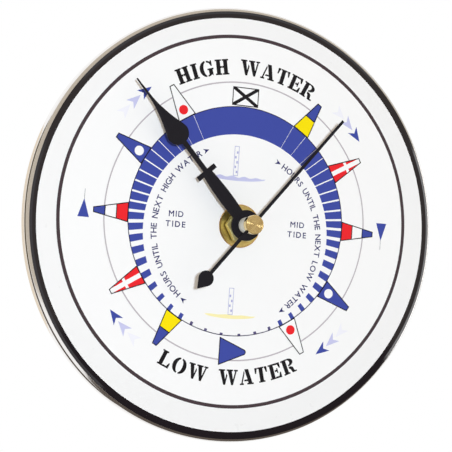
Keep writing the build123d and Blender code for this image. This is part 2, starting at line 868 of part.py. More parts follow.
third_pinion_front = centre_wheel_front + pinion_lead
with BuildPart() as third_wheel:
    add(gear(third_teeth, third_module, upper_wheel_back, upper_wheel_front, third_axis, third_phase))
    add(
        crossings(
            third_teeth, third_module, flange_radius, upper_wheel_back, upper_wheel_front, third_axis
        ),
        mode=Mode.SUBTRACT,
    )
    add(
        gear(
            third_pinion_teeth,
            centre_module,
            upper_wheel_front,
            third_pinion_front,
            third_axis,
            third_phase,
        )
    )
    add(arbor(arbor_back, arbor_front, third_axis))

with BuildPart() as centre_wheel:
    add(
        gear(
            centre_teeth,
            centre_module,
            centre_wheel_back,
            centre_wheel_front,
            hand_axis,
            centre_phase,
            clutch_hub_radius + pivot_clearance,
        )
    )

# Friction clutch: the centre pinion slips in the centre wheel when the hand is set
with BuildPart() as clutch_spring:
    with BuildSketch(at_depth(spring_back)):
        Circle(clutch_hub_radius + spring_leg_width)
        with PolarLocations(spring_reach / 2, spring_legs):
            SlotOverall(spring_reach, spring_leg_width)
        Circle(clutch_hub_radius + seat_clearance, mode=Mode.SUBTRACT)
    extrude(amount=spring_thickness)

with BuildPart() as centre_pinion:
    add(
        turned(
            [
                (seconds_bore + pivot_clearance, clutch_back),
                (clutch_hub_radius, clutch_back),
                (clutch_hub_radius, flange_back),
                (flange_radius, flange_back),
                (flange_radius, flange_front),
                (journal_radius, flange_front),
                (journal_radius, journal_front),
                (seconds_bore + pivot_clearance, journal_front),
            ]
        )
    )
    add(
        gear(
            centre_pinion_teeth,
            transfer_module,
            journal_front,
            centre_pinion_front,
            hand_axis,
            centre_pinion_phase,
            seconds_bore + pivot_clearance,
        )
    )

# Wheels that turn with the tide hand
transfer_arbor_back = bridge_front + end_shake
front_arbor_end = front_boss_face - end_shake
with BuildPart() as transfer_wheel:
    add(
        gear(
            transfer_teeth,
            transfer_module,
            transfer_wheel_back,
            transfer_wheel_front,
            transfer_axis,
            transfer_phase,
        )
    )
    add(
        gear(
            transfer_pinion_teeth,
            tide_module,
            transfer_wheel_front,
            transfer_pinion_front,
            transfer_axis,
            transfer_phase,
        )
    )
    add(arbor(transfer_arbor_back, front_arbor_end, transfer_axis))

with BuildPart() as tide_wheel:
    add(gear(tide_teeth, tide_module, tide_wheel_back, tide_wheel_front, hand_axis, 0))
    add(disc(pipe_radius, tide_wheel_front, pipe_end))
    add(disc(pipe_bore_radius, tide_wheel_back, pipe_end), mode=Mode.SUBTRACT)

knob_back = knob_recess
knob_front = knob_recess + knob_thickness
knob_socket = knob_back + knob_thickness / 3
with BuildPart() as setting_arbor:
    add(
        turned(
            [
                (0, knob_socket + seat_clearance),
                (setting_arbor_radius, knob_socket + seat_clearance),
                (setting_arbor_radius, front_arbor_end),
                (pivot_radius, front_arbor_end),
                (pivot_radius, front_arbor_end + pivot_length),
                (0, front_arbor_end + pivot_length),
            ],
            setting_axis,
        )
    )
    add(
        gear(
            setting_teeth,
            transfer_module,
            transfer_wheel_back - pinion_lead,
            transfer_wheel_front + pinion_lead,
            setting_axis,
            setting_phase,
        )
    )

with BuildPart() as setting_knob:
    with BuildSketch(at_depth(knob_back, setting_axis)):
        Circle(knob_radius)
        with PolarLocations(knob_radius, knob_flutes):
            Circle(knob_flute_radius, mode=Mode.SUBTRACT)
    extrude(amount=knob_thickness)
    with BuildSketch(at_depth(knob_front, setting_axis)):
        Circle(setting_arbor_radius + seat_clearance)
    extrude(amount=-(knob_front - knob_socket), mode=Mode.SUBTRACT)

# Tide hand: round eye, leaf, crossbar, neck and a spade drawn out to a long point
with BuildPart() as tide_hand:
    with BuildSketch(hand_plane(blade_back, tide_hand_angle)):
        Circle(eye_radius)
        with BuildLine() as leaf:
            Spline(
                (leaf_root_half_width, eye_radius / 2),
                (leaf_half_width, (eye_radius + bar_distance) / 2),
                (leaf_end_half_width, bar_distance),
            )
            Line((leaf_end_half_width, bar_distance), (0, bar_distance))
            mirror(about=Plane.YZ)
            Line((leaf_root_half_width, eye_radius / 2), (-leaf_root_half_width, eye_radius / 2))
        make_face()
        with Locations((0, bar_distance)):
            Rectangle(bar_length, bar_width)
        with Locations((0, (bar_distance + spade_distance) / 2)):
            Rectangle(2 * neck_half_width, spade_distance - bar_distance)
        with BuildLine() as spade:
            ThreePointArc(
                (0, spade_distance - spade_round),
                (spade_half_width * sin(radians(45)), spade_distance - spade_round * cos(radians(45))),
                (spade_half_width, spade_distance),
            )
            Spline(
                (spade_half_width, spade_distance),
                (shoulder_half_width, shoulder_distance),
                (flare_half_width, flare_distance),
                (taper_half_width, taper_distance),
                (tip_start_half_width, tip_start),
                tangents=((0, 1), (tip_half_width - tip_start_half_width, tide_hand_length - tip_start)),
            )
            Polyline(
                (tip_start_half_width, tip_start), (tip_half_width, tide_hand_length), (0, tide_hand_length)
            )
            mirror(about=Plane.YZ)
        make_face()
        Circle(pipe_radius + seat_clearance, mode=Mode.SUBTRACT)
    extrude(amount=blade_thickness)

tide_hand_collet = disc(collet_radius, collet_back, blade_back, bore=pipe_radius + seat_clearance)

# White bush on the end of the tide pipe, which also steadies the seconds arbor
spacer_bush = turned(
    [
        (pipe_radius + seat_clearance, blade_front),
        (bush_radius, blade_front),
        (bush_radius, bush_front - running_gap),
        (bush_radius - running_gap, bush_front),
        (centre_arbor_radius + pivot_clearance, bush_front),
        (centre_arbor_radius + pivot_clearance, pipe_end + seat_clearance),
        (pipe_radius + seat_clearance, pipe_end + seat_clearance),
    ]
)

# Seconds hand: long pointer, and a tail that ends in a drop with a point
with BuildPart() as seconds_hand:
    with BuildSketch(hand_plane(seconds_back, seconds_hand_angle)):
        with Locations((0, -drop_distance)):
            Circle(drop_radius)
        with Locations((0, drop_point_radius - drop_point)):
            Circle(drop_point_radius)
        make_hull()
        with BuildLine():
            Polyline(
                (-seconds_half_width, -drop_distance),
                (seconds_half_width, -drop_distance),
                (seconds_tip_half_width, seconds_hand_length),
                (-seconds_tip_half_width, seconds_hand_length),
                close=True,
            )
        make_face()
        Circle(seconds_eye_radius)
        Circle(spigot_radius + seat_clearance, mode=Mode.SUBTRACT)
    extrude(amount=seconds_thickness)

# Turned brass cap whose spigot passes through the seconds hand on to the arbor
seconds_cap = turned(
    [
        (seconds_bore, seconds_back),
        (spigot_radius, seconds_back),
        (spigot_radius, seconds_front),
        (cap_radius, seconds_front),
        (cap_radius, cap_front - cap_edge),
        (cap_radius - cap_edge, cap_front),
        (0, cap_front),
        (0, cap_bore_depth),
        (seconds_bore, cap_bore_depth),
    ]
)

pieces = {
    "dial_disc": dial_disc,
    "face_film": face_film,
    "dial_sheet": dial_sheet.part,
    "gasket": gasket,
    "brass_washer": brass_washer.part,
    "hex_nut": hex_nut.part,
    "front_housing": front_housing.part,
    "rear_cover": rear_cover.part,
    "train_bridge": train_bridge.part,
    "stator": stator.part,
    "coil_core": coil_core.part,
    "coil_bobbin": coil_bobbin.part,
    "coil_winding": coil_winding.part,
    "circuit_board": circuit_board.part,
    "timing_chip": timing_chip.part,
    "quartz_crystal": quartz_crystal.part,
    "negative_contact": negative_contact.part,
    "positive_contact": positive_contact.part,
    "battery_can": battery_can.part,
    "battery_nub": battery_nub.part,
    "train_screws": train_screws.part,
    "rotor_pinion": rotor_pinion.part,
    "rotor_magnet": rotor_magnet,
    "fifth_wheel": fifth_wheel.part,
    "seconds_wheel": seconds_wheel.part,
    "seconds_arbor": seconds_arbor,
    "third_wheel": third_wheel.part,
    "centre_wheel": centre_wheel.part,
    "clutch_spring": clutch_spring.part,
    "centre_pinion": centre_pinion.part,
    "transfer_wheel": transfer_wheel.part,
    "tide_wheel": tide_wheel.part,
    "setting_arbor": setting_arbor.part,
    "setting_knob": setting_knob.part,
    "tide_hand": tide_hand.part,
    "tide_hand_collet": tide_hand_collet,
    "spacer_bush": spacer_bush,
    "seconds_hand": seconds_hand.part,
    "seconds_cap": seconds_cap,
}

os.makedirs("parts", exist_ok=True)
for name, piece in pieces.items():
    piece.label = name
    export_step(piece, f"parts/{name}.step")
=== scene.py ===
"""Dresses a wall-hung tide clock: printed dial, polished disc, brass hub, black hands and moulded case."""
import json
import logging
import math
from collections import Counter
from collections.abc import Callable, Iterable, Sequence
from dataclasses import dataclass, field
from enum import Enum

import bmesh
import bpy
from mathutils import Matrix, Vector


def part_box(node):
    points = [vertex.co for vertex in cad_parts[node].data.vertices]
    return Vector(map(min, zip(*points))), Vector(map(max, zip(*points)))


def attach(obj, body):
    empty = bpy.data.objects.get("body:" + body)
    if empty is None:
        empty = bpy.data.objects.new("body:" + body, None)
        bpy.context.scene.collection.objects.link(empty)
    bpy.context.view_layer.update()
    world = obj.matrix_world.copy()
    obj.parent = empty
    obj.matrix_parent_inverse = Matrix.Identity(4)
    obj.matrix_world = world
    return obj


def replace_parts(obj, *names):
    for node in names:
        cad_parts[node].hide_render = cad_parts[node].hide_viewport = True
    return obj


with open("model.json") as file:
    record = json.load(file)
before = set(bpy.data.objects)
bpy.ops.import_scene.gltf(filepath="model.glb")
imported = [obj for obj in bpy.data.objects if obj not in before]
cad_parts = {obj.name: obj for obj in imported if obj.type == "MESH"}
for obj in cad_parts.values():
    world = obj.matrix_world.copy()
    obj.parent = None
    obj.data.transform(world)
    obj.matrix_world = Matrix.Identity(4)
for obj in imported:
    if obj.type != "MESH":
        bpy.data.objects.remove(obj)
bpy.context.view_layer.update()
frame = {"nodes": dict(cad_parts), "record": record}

log = logging.getLogger("tide_clock")

MM = 0.001
IMAGE_SIDE = 452
FIXED_BODY = "clock_case"

Point = tuple[float, float]
Colour = tuple[float, float, float]
Profile = Callable[[float], Point]

DISC_MIDDLE: Point = (-0.80, 0.75)
# Least cosines at which a line's corner and a letter's corner are still mitred
LINE_MITRE = 0.3
LETTER_MITRE = 0.5


def linear(level: int) -> float:
    """Linear share of an 8-bit display level."""
    share = level / 255
    return share / 12.92 if share <= 0.04045 else ((share + 0.055) / 1.055) ** 2.4


def display(red: int, green: int, blue: int) -> Colour:
    """Linear colour that shows as these 8-bit display levels."""
    return (linear(red), linear(green), linear(blue))


def scaled(colour: Colour, share: float) -> Colour:
    """Colour at a share of its strength."""
    return tuple(level * share for level in colour)


def outward(bearing: float, rise: float) -> Vector:
    """Unit vector away from the dial, at a bearing to the right of straight ahead and a rise, in degrees."""
    turn, lift = math.radians(bearing), math.radians(rise)
    return Vector((math.sin(turn) * math.cos(lift), -math.cos(turn) * math.cos(lift), math.sin(lift)))


def polar(radius: float, angle: float) -> Point:
    """Point at a radius and a clock angle in degrees, from twelve o'clock towards three."""
    turn = math.radians(angle)
    return (radius * math.sin(turn), radius * math.cos(turn))


def arc(radius: float, start: float, end: float, step: float = 1.0) -> list[Point]:
    """Points along an arc about the origin.

    Args:
        radius: Radius of the arc.
        start: Clock angle of the first point, in degrees.
        end: Clock angle of the last point, in degrees.
        step: Largest angle between two points, in degrees.

    Returns:
        The points from start to end.
    """
    count = max(1, math.ceil(abs(end - start) / step))
    return [polar(radius, start + (end - start) * i / count) for i in range(count + 1)]


def rectangle(left: float, low: float, right: float, high: float) -> list[Point]:
    """Corners of an upright rectangle, anticlockwise."""
    return [(left, low), (right, low), (right, high), (left, high)]


class Value:
    """A node's output, on which plain arithmetic adds Math nodes."""

    def __init__(self, graph: "Graph", socket: bpy.types.NodeSocket) -> None:
        """Keep the graph and the output that it holds."""
        self.graph = graph
        self.socket = socket

    def math(self, operation: str, *others: "Value | float") -> "Value":
        """Result of a Math node with this value first."""
        return self.graph.math(operation, self, *others)

    def __add__(self, other: "Value | float") -> "Value":
        """Sum."""
        return self.math("ADD", other)

    __radd__ = __add__

    def __sub__(self, other: "Value | float") -> "Value":
        """Difference."""
        return self.math("SUBTRACT", other)

    def __rsub__(self, other: float) -> "Value":
        """Difference from a number."""
        return self.graph.math("SUBTRACT", other, self)

    def __mul__(self, other: "Value | float") -> "Value":
        """Product."""
        return self.math("MULTIPLY", other)

    __rmul__ = __mul__

    def __truediv__(self, other: "Value | float") -> "Value":
        """Quotient."""
        return self.math("DIVIDE", other)

    def __rtruediv__(self, other: float) -> "Value":
        """Quotient of a number by this value."""
        return self.graph.math("DIVIDE", other, self)

    def __pow__(self, other: "Value | float") -> "Value":
        """Power."""
        return self.math("POWER", other)

    def __rpow__(self, other: float) -> "Value":
        """Number to the power of this value."""
        return self.graph.math("POWER", other, self)

    def __gt__(self, other: "Value | float") -> "Value":
        """One where this value is the greater, and zero elsewhere."""
        return self.math("GREATER_THAN", other)

    def __lt__(self, other: "Value | float") -> "Value":
        """One where this value is the lesser, and zero elsewhere."""
        return self.math("LESS_THAN", other)


class Graph:
    """The node tree of one material or world, and the calls that add to it."""

    def __init__(self, owner: "bpy.types.Material | bpy.types.World") -> None:
        """Start an empty tree on its owner."""
        owner.use_nodes = True
        self.tree = owner.node_tree
        self.tree.nodes.clear()

    def node(
        self,
        kind: str,
        settings: dict[str, object] | None = None,
        inputs: dict[int | str, object] | None = None,
        output: int | str = 0,
    ) -> Value:
        """Add any node.

        Args:
            kind: The node's type.
            settings: Its properties, set first; "stops" holds a ramp's positions and colours.
            inputs: Values or links of its sockets, by name or place.
            output: Which of its outputs to return.

        Returns:
            The chosen output.
        """
        node = self.tree.nodes.new(kind)
        for name, setting in (settings or {}).items():
            if name == "stops":
                self.set_stops(node.color_ramp, setting)
            else:
                setattr(node, name, setting)
        for name, value in (inputs or {}).items():
            self.plug(node.inputs[name], value)
        return Value(self, node.outputs[output] if node.outputs else None)

    @staticmethod
    def set_stops(ramp: bpy.types.ColorRamp, stops: Sequence[tuple[float, Colour]]) -> None:
        """Give a ramp its stops.

        Args:
            ramp: The ramp.
            stops: Positions and colours, two or more.
        """
        while len(ramp.elements) < len(stops):
            ramp.elements.new(1.0)
        for element, (position, colour) in zip(ramp.elements, stops):
            element.position = position
            element.color = (*colour, 1.0)

    def plug(self, socket: bpy.types.NodeSocket, value: object) -> None:
        """Feed a socket.

        Args:
            socket: The socket.
            value: What to link to it, or the number or colour to set it to.
        """
        if isinstance(value, Value):
            self.tree.links.new(value.socket, socket)
        elif socket.type == "RGBA" and len(value) == 3:
            socket.default_value = (*value, 1.0)
        else:
            socket.default_value = value

    def math(self, operation: str, *values: "Value | float") -> Value:
        """Result of a Math node on these values."""
        return self.node("ShaderNodeMath", {"operation": operation}, dict(enumerate(values)))

    def place(self) -> Value:
        """Position on the piece, in metres in the clock's frame at rest."""
        return self.node("ShaderNodeTexCoord", output="Object")

    def along(self, axis: str) -> Value:
        """Position along X, Y or Z, in millimetres."""
        return self.node("ShaderNodeSeparateXYZ", inputs={0: self.place()}, output=axis) / MM

    def distance(self, centre: Point = (0.0, 0.0)) -> Value:
        """Distance from an axis that runs along Y.

        Args:
            centre: Where the axis crosses the dial, in millimetres.

        Returns:
            The distance, in millimetres.
        """
        across = self.along("X") - centre[0]
        up = self.along("Z") - centre[1]
        return (across * across + up * up) ** 0.5

    def noise(self, size: float, detail: float = 2.0, stretch: Colour = (1.0, 1.0, 1.0)) -> Value:
        """Soft random variation from 0 to 1.

        Args:
            size: Size of its features, in millimetres.
            detail: How much finer variation it has.
            stretch: How many times longer the features are along X, Y and Z.

        Returns:
            The variation.
        """
        shrink = tuple(1 / times for times in stretch)
        where = self.node("ShaderNodeVectorMath", {"operation": "MULTIPLY"}, {0: self.place(), 1: shrink})
        inputs = {"Vector": where, "Scale": 1 / (size * MM), "Detail": detail}
        return self.node("ShaderNodeTexNoise", inputs=inputs)

    def lines(self, position: Value, pitch: float, detail: float = 3.0) -> Value:
        """Random fine lines across a position in millimetres, about one to a pitch."""
        inputs = {"W": position / pitch, "Scale": 1.0, "Detail": detail}
        return self.node("ShaderNodeTexNoise", {"noise_dimensions": "1D"}, inputs)

    def mix(self, share: "Value | float", first: "Value | Colour", second: "Value | Colour") -> Value:
        """Colour between two others."""
        inputs = {0: share, 6: first, 7: second}
        return self.node("ShaderNodeMix", {"data_type": "RGBA"}, inputs, output=2)

    def bump(self, height: Value, depth: float) -> Value:
        """Normal of a relief whose height of 0 to 1 is this many millimetres."""
        return self.node("ShaderNodeBump", inputs={"Height": height, "Strength": 1.0, "Distance": depth * MM})


@dataclass(frozen=True)
class Finish:
    """One surface finish.

    Attributes:
        name: The material's name.
        colour: Main linear colour.
        roughness: Middle of its roughness.
        metallic: One for bare metal.
        specular: Strength of the clear reflection, 0.5 on plain plastic.
        mottle_size: Size of its colour variation, in millimetres.
        mottle: How far the colour darkens with it, as a share.
        grain_size: Size of its relief, in millimetres.
        grain_depth: Height of its relief, in millimetres.
        gloss_spread: How far the roughness varies.
        gloss_size: Size of that variation, as a share of the colour's.
    """

    name: str
    colour: Colour
    roughness: float = 0.5
    metallic: float = 0.0
    specular: float = 0.5
    mottle_size: float = 4.0
    mottle: float = 0.06
    grain_size: float = 0.5
    grain_depth: float = 0.004
    gloss_spread: float = 0.12
    gloss_size: float = 0.6

    def material(self) -> bpy.types.Material:
        """Make the material of this finish, the first time it is asked for.

        Returns:
            The material.
        """
        known = bpy.data.materials.get(self.name)
        if known:
            return known
        material = bpy.data.materials.new(self.name)
        graph = Graph(material)
        inputs = {
            "Metallic": self.metallic,
            "Specular IOR Level": self.specular,
            "Base Color": self.tint(graph),
            "Roughness": self.gloss(graph),
            "Normal": self.relief(graph),
        }
        shader = graph.node("ShaderNodeBsdfPrincipled", inputs=inputs)
        graph.node("ShaderNodeOutputMaterial", inputs={"Surface": shader})
        return material

    def around(self, variation: Value) -> Value:
        """Roughness that follows a variation of 0 to 1, about its middle."""
        return variation * self.gloss_spread + (self.roughness - self.gloss_spread / 2)

    def tint(self, graph: Graph) -> Value:
        """Colour over the surface."""
        variation = graph.noise(self.mottle_size, detail=3.0)
        return graph.mix(variation, scaled(self.colour, 1 - self.mottle), self.colour)

    def gloss(self, graph: Graph) -> Value:
        """Roughness over the surface."""
        return self.around(graph.noise(self.mottle_size * self.gloss_size))

    def relief(self, graph: Graph) -> Value:
        """Normal over the surface."""
        return graph.bump(graph.noise(self.grain_size), self.grain_depth)


@dataclass(frozen=True)
class Ink(Finish):
    """Printing ink: even, with slight changes of density and a satin film."""

    roughness: float = 0.5
    specular: float = 0.1
    mottle_size: float = 0.9
    mottle: float = 0.04
    grain_size: float = 0.35
    grain_depth: float = 0.0015


@dataclass(frozen=True)
class TurnedMetal(Finish):
    """Metal cut on a lathe: fine rings about its axis, light tarnish, and painted shade round its edge where
    asked.

    Attributes:
        axis: Where the lathe's axis crosses the dial, in millimetres.
        pitch: Spacing of the tool's rings, in millimetres.
        ring_depth: Height of the rings, in millimetres.
        tarnish_and_edge_shade: Colour of the tarnish and of the painted shade round the edge.
        tarnish_share: Most of it that shows.
        fine_patches: Size of its finer patches, as a share of the larger.
        edge_shade_radius: Where the painted shade round the edge begins, in millimetres.
        edge_shade_share: How much of that painted shade shows.
    """

    metallic: float = 1.0
    axis: Point = (0.0, 0.0)
    pitch: float = 0.12
    ring_depth: float = 0.002
    tarnish_and_edge_shade: Colour = (0.35, 0.22, 0.10)
    tarnish_share: float = 0.35
    fine_patches: float = 0.3
    edge_shade_radius: float = 100.0
    edge_shade_share: float = 0.0

    def rings(self, graph: Graph, pitch: float) -> Value:
        """Random rings about the axis, about one to a pitch."""
        return graph.lines(graph.distance(self.axis) + graph.along("Y"), pitch)

    def tint(self, graph: Graph) -> Value:
        """Bright metal with tarnish in soft patches, and painted shade round its edge.

        Args:
            graph: The material's nodes.

        Returns:
            The colour.
        """
        fine = graph.noise(self.mottle_size * self.fine_patches)
        patches = graph.noise(self.mottle_size, detail=4.0) * fine
        # Painted shade: beyond the shade radius the rim is darkened toward the tarnish colour
        edge = (graph.distance(self.axis) > self.edge_shade_radius) * self.edge_shade_share
        return graph.mix(patches * (2 * self.tarnish_share) + edge, self.colour, self.tarnish_and_edge_shade)

    def gloss(self, graph: Graph) -> Value:
        """Rings that are now duller, now brighter."""
        return self.around(self.rings(graph, 2 * self.pitch))

    def relief(self, graph: Graph) -> Value:
        """Tool rings."""
        return graph.bump(self.rings(graph, self.pitch), self.ring_depth)


@dataclass(frozen=True)
class DiscMetal(TurnedMetal):
    """Aluminium disc: polished on its rim, satin on its back.

    Attributes:
        rim_radius: Where the polish begins, in millimetres.
        satin: Roughness of the back.
    """

    rim_radius: float = 77.0
    satin: float = 0.38

    def gloss(self, graph: Graph) -> Value:
        """Polish at the rim, satin inside it."""
        inside = graph.distance(self.axis) < self.rim_radius
        return inside * (self.satin - self.roughness) + super().gloss(graph)


@dataclass(frozen=True)
class DrawnMetal(Finish):
    """Drawn or rolled metal, streaked along its length.

    Attributes:
        stretch: How many times longer a streak is than wide, along X, Y and Z.
    """

    metallic: float = 1.0
    stretch: Colour = (30.0, 1.0, 1.0)

    def gloss(self, graph: Graph) -> Value:
        """Streaks that are now duller, now brighter."""
        return self.around(graph.noise(self.grain_size, detail=3.0, stretch=self.stretch))

    def relief(self, graph: Graph) -> Value:
        """Shallow streaks."""
        return graph.bump(graph.noise(self.grain_size, stretch=self.stretch), self.grain_depth)


@dataclass(frozen=True)
class BarMetal(DrawnMetal):
    """Metal bar cut into nuts, with painted shade in the corner at its foot.

    Attributes:
        foot: Depth at which the painted shade begins, in millimetres.
        foot_shade: Colour of the painted shade.
        foot_shade_share: How much of it shows.
        ragged: Length and height of the waves of its edge, in millimetres.
    """

    foot: float = 0.0
    foot_shade: Colour = (0.16, 0.12, 0.03)
    foot_shade_share: float = 0.85
    ragged: Point = (0.8, 0.2)

    def tint(self, graph: Graph) -> Value:
        """Clean metal above its foot, painted shade along it.

        Args:
            graph: The material's nodes.

        Returns:
            The colour.
        """
        length, height = self.ragged
        # Painted shade: the corner at the nut's foot is darkened with a ragged edge
        low = graph.along("Y") + graph.noise(length) * height > self.foot
        return graph.mix(low * self.foot_shade_share, self.colour, self.foot_shade)


@dataclass(frozen=True)
class Lacquer(Finish):
    """Sprayed satin lacquer with an orange-peel surface and a little settled dust.

    Attributes:
        dust: Colour of the dust.
        dust_size: Spacing of the specks, in millimetres.
        dust_level: Level of the variation, from 0 to 1, above which a speck shows.
        dust_share: How much of a speck shows.
    """

    dust: Colour = (0.10, 0.10, 0.10)
    dust_size: float = 0.25
    dust_level: float = 0.72
    dust_share: float = 0.35

    def tint(self, graph: Graph) -> Value:
        """Lacquer with faint specks."""
        specks = graph.noise(self.dust_size, detail=4.0) > self.dust_level
        return graph.mix(specks * self.dust_share, super().tint(graph), self.dust)


@dataclass(frozen=True)
class Winding(Finish):
    """Enamelled wire laid turn by turn along Z, with painted shade between the turns.

    Attributes:
        wire: Width of a turn, in millimetres.
        gap_shade: Brightness of the painted shade between two turns, as a share.
    """

    wire: float = 0.2
    gap_shade: float = 0.3

    def turns(self, graph: Graph) -> Value:
        """Round profile of the turns, from 0 between two to 1 on top of one."""
        return graph.math("ABSOLUTE", graph.math("SINE", graph.along("Z") * (math.pi / self.wire)))

    def tint(self, graph: Graph) -> Value:
        """Painted shade between the turns."""
        return graph.mix(self.turns(graph), scaled(self.colour, self.gap_shade), super().tint(graph))

    def relief(self, graph: Graph) -> Value:
        """Rounded turns."""
        return graph.bump(self.turns(graph), self.wire / 2)


@dataclass(frozen=True)
class BoardMask(Finish):
    """Green board with copper tracks that show through its lacquer.

    Attributes:
        track: Colour of the tracks.
        spacing: Distance between them, in millimetres.
        bends: Length and width of their bends, in millimetres.
        track_level: Level of a wave across the board, from -1 to 1, above which a track shows.
    """

    track: Colour = (0.12, 0.36, 0.13)
    spacing: float = 1.6
    bends: Point = (9.0, 2.0)
    track_level: float = 0.2

    def tracks(self, graph: Graph) -> Value:
        """One on a track, zero beside it.

        Args:
            graph: The material's nodes.

        Returns:
            The mask.
        """
        length, width = self.bends
        wave = graph.along("Z") + graph.noise(length, detail=0.0) * width
        return graph.math("SINE", wave * (2 * math.pi / self.spacing)) > self.track_level

    def tint(self, graph: Graph) -> Value:
        """Tracks in a paler green."""
        return graph.mix(self.tracks(graph), super().tint(graph), self.track)


@dataclass(frozen=True)
class Jacket(Finish):
    """Plain wrapped cell with a coloured band at its positive end.

    Attributes:
        band: Colour of the band.
        band_start: Where along X it begins, in millimetres.
    """

    band: Colour = (0.55, 0.25, 0.08)
    band_start: float = 11.0

    def tint(self, graph: Graph) -> Value:
        """Band beside the dark jacket."""
        return graph.mix(graph.along("X") > self.band_start, super().tint(graph), self.band)


class Shade(Enum):
    """Inks of the dial's print."""

    CHARCOAL = Ink("charcoal_ink", display(28, 23, 28), 0.08, specular=0.5, gloss_spread=0.02)
    RING = Ink("ring_ink", display(72, 60, 64))
    BLACK = Ink("lettering_ink", display(30, 27, 30))
    LINE = Ink("outline_ink", display(48, 44, 78))
    DOT = Ink("dot_ink", display(92, 86, 126))
    GREY = Ink("hairline_ink", display(188, 181, 187))
    BLUE = Ink("sea_blue_ink", display(64, 77, 162))
    TEXT_BLUE = Ink("small_text_ink", display(48, 48, 104))
    RED = Ink("flag_red_ink", display(239, 39, 47))
    YELLOW = Ink("flag_yellow_ink", display(252, 228, 6))
    WHITE = Ink("flag_white_ink", display(248, 248, 248), mottle=0.012)
    LAVENDER = Ink("lavender_ink", display(200, 201, 236))
    FAINT = Ink("faint_lavender_ink", display(243, 243, 250))
    STAFF = Ink("staff_ink", display(176, 178, 218))
    SAND = Ink("sand_ink", display(250, 240, 178))


def to_object(name: str, mesh: bmesh.types.BMesh) -> bpy.types.Object:
    """Put a finished mesh into the scene as an object, its faces turned outward.

    Args:
        name: The object's name.
        mesh: The mesh, which is freed.

    Returns:
        The object.
    """
    bmesh.ops.recalc_face_normals(mesh, faces=mesh.faces)
    data = bpy.data.meshes.new(name)
    mesh.to_mesh(data)
    mesh.free()
    piece = bpy.data.objects.new(name, data)
    bpy.context.scene.collection.objects.link(piece)
    return piece


def fit(piece: bpy.types.Object, body: str, finish: Finish) -> bpy.types.Object:
    """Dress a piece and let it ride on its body.

    Args:
        piece: The piece.
        body: CAD body that it moves with.
        finish: What its surface is.

    Returns:
        The piece.
    """
    piece.data.materials.clear()
    piece.data.materials.append(finish.material())
    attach(piece, body)
    log.info("%s: %s on %s", piece.name, finish.name, body)
    return piece


@dataclass(frozen=True)
class Patch:
    """A flat shape in the dial's plane.

    Attributes:
        points: Its points, right and up, in millimetres.
        polygons: The polygons between them, as places in the list of points.
    """

    points: tuple[Point, ...]
    polygons: tuple[tuple[int, ...], ...]

    @classmethod
    def outline(cls, points: Sequence[Point]) -> "Patch":
        """One polygon."""
        return cls(tuple(points), (tuple(range(len(points))),))

    @classmethod
    def strip(cls, first: Sequence[Point], second: Sequence[Point], closed: bool = False) -> "Patch":
        """Quads between two lines.

        Args:
            first: Points of the one line.
            second: As many points of the other.
            closed: Whether the last quad joins their ends to their starts.

        Returns:
            The strip.
        """
        count = len(first)
        steps = range(count if closed else count - 1)
        quads = tuple((i, (i + 1) % count, count + (i + 1) % count, count + i) for i in steps)
        return cls((*first, *second), quads)

    @classmethod
    def ring(cls, inner: float, outer: float, step: float = 1.5) -> "Patch":
        """Ring about the origin."""
        return cls.strip(arc(inner, 0, 360, step)[:-1], arc(outer, 0, 360, step)[:-1], closed=True)

    @classmethod
    def disc(cls, radius: float, centre: Point, step: float = 10.0) -> "Patch":
        """Round dot."""
        return cls.outline(arc(radius, 0, 360, step)[:-1]).shifted(centre)

    @classmethod
    def stroke(cls, line: Sequence[Point], width: float, closed: bool = True) -> "Patch":
        """Line of a width, with mitred corners.

        Args:
            line: Points of its middle.
            width: Its width, in millimetres.
            closed: Whether it runs back to its start.

        Returns:
            The line's shape.
        """
        count = len(line)
        left, right = [], []
        for i, here in enumerate(line):
            before = Vector(line[i - 1] if closed or i else here)
            after = Vector(line[(i + 1) % count] if closed or i + 1 < count else here)
            legs = [leg.normalized() for leg in (Vector(here) - before, after - Vector(here)) if leg.length]
            normals = [Vector((-leg.y, leg.x)) for leg in legs]
            middle = (normals[0] + normals[-1]).normalized()
            reach = middle * (width / 2 / max(LINE_MITRE, middle.dot(normals[0])))
            left.append(tuple(Vector(here) + reach))
            right.append(tuple(Vector(here) - reach))
        return cls.strip(left, right, closed)

    def moved(self, change: Callable[[Point], Point]) -> "Patch":
        """The same shape with each point changed."""
        return Patch(tuple(change(point) for point in self.points), self.polygons)

    def shifted(self, by: Point) -> "Patch":
        """The same shape moved right and up."""
        return self.moved(lambda point: (point[0] + by[0], point[1] + by[1]))

    def grown(self, amount: float) -> "Patch":
        """The same shape with its edge moved outward, if its polygons run anticlockwise.

        Args:
            amount: How far, in the shape's own unit.

        Returns:
            The larger shape.
        """
        sides = [pair for p in self.polygons for pair in zip(p, p[1:] + p[:1])]
        normals: dict[int, list[Vector]] = {}
        for one, two in sides:
            leg = Vector(self.points[two]) - Vector(self.points[one])
            if (two, one) not in sides and leg.length:
                for end in (one, two):
                    normals.setdefault(end, []).append(Vector((leg.y, -leg.x)).normalized())
        points = list(self.points)
        for i, edges in normals.items():
            middle = sum(edges, Vector((0.0, 0.0))).normalized()
            reach = amount / max(LETTER_MITRE, middle.dot(edges[0]))
            points[i] = tuple(Vector(points[i]) + middle * reach)
        return Patch(tuple(points), self.polygons)

    def across(self) -> tuple[float, float]:
        """Leftmost and rightmost place."""
        places = [x for x, _ in self.points]
        return min(places), max(places)


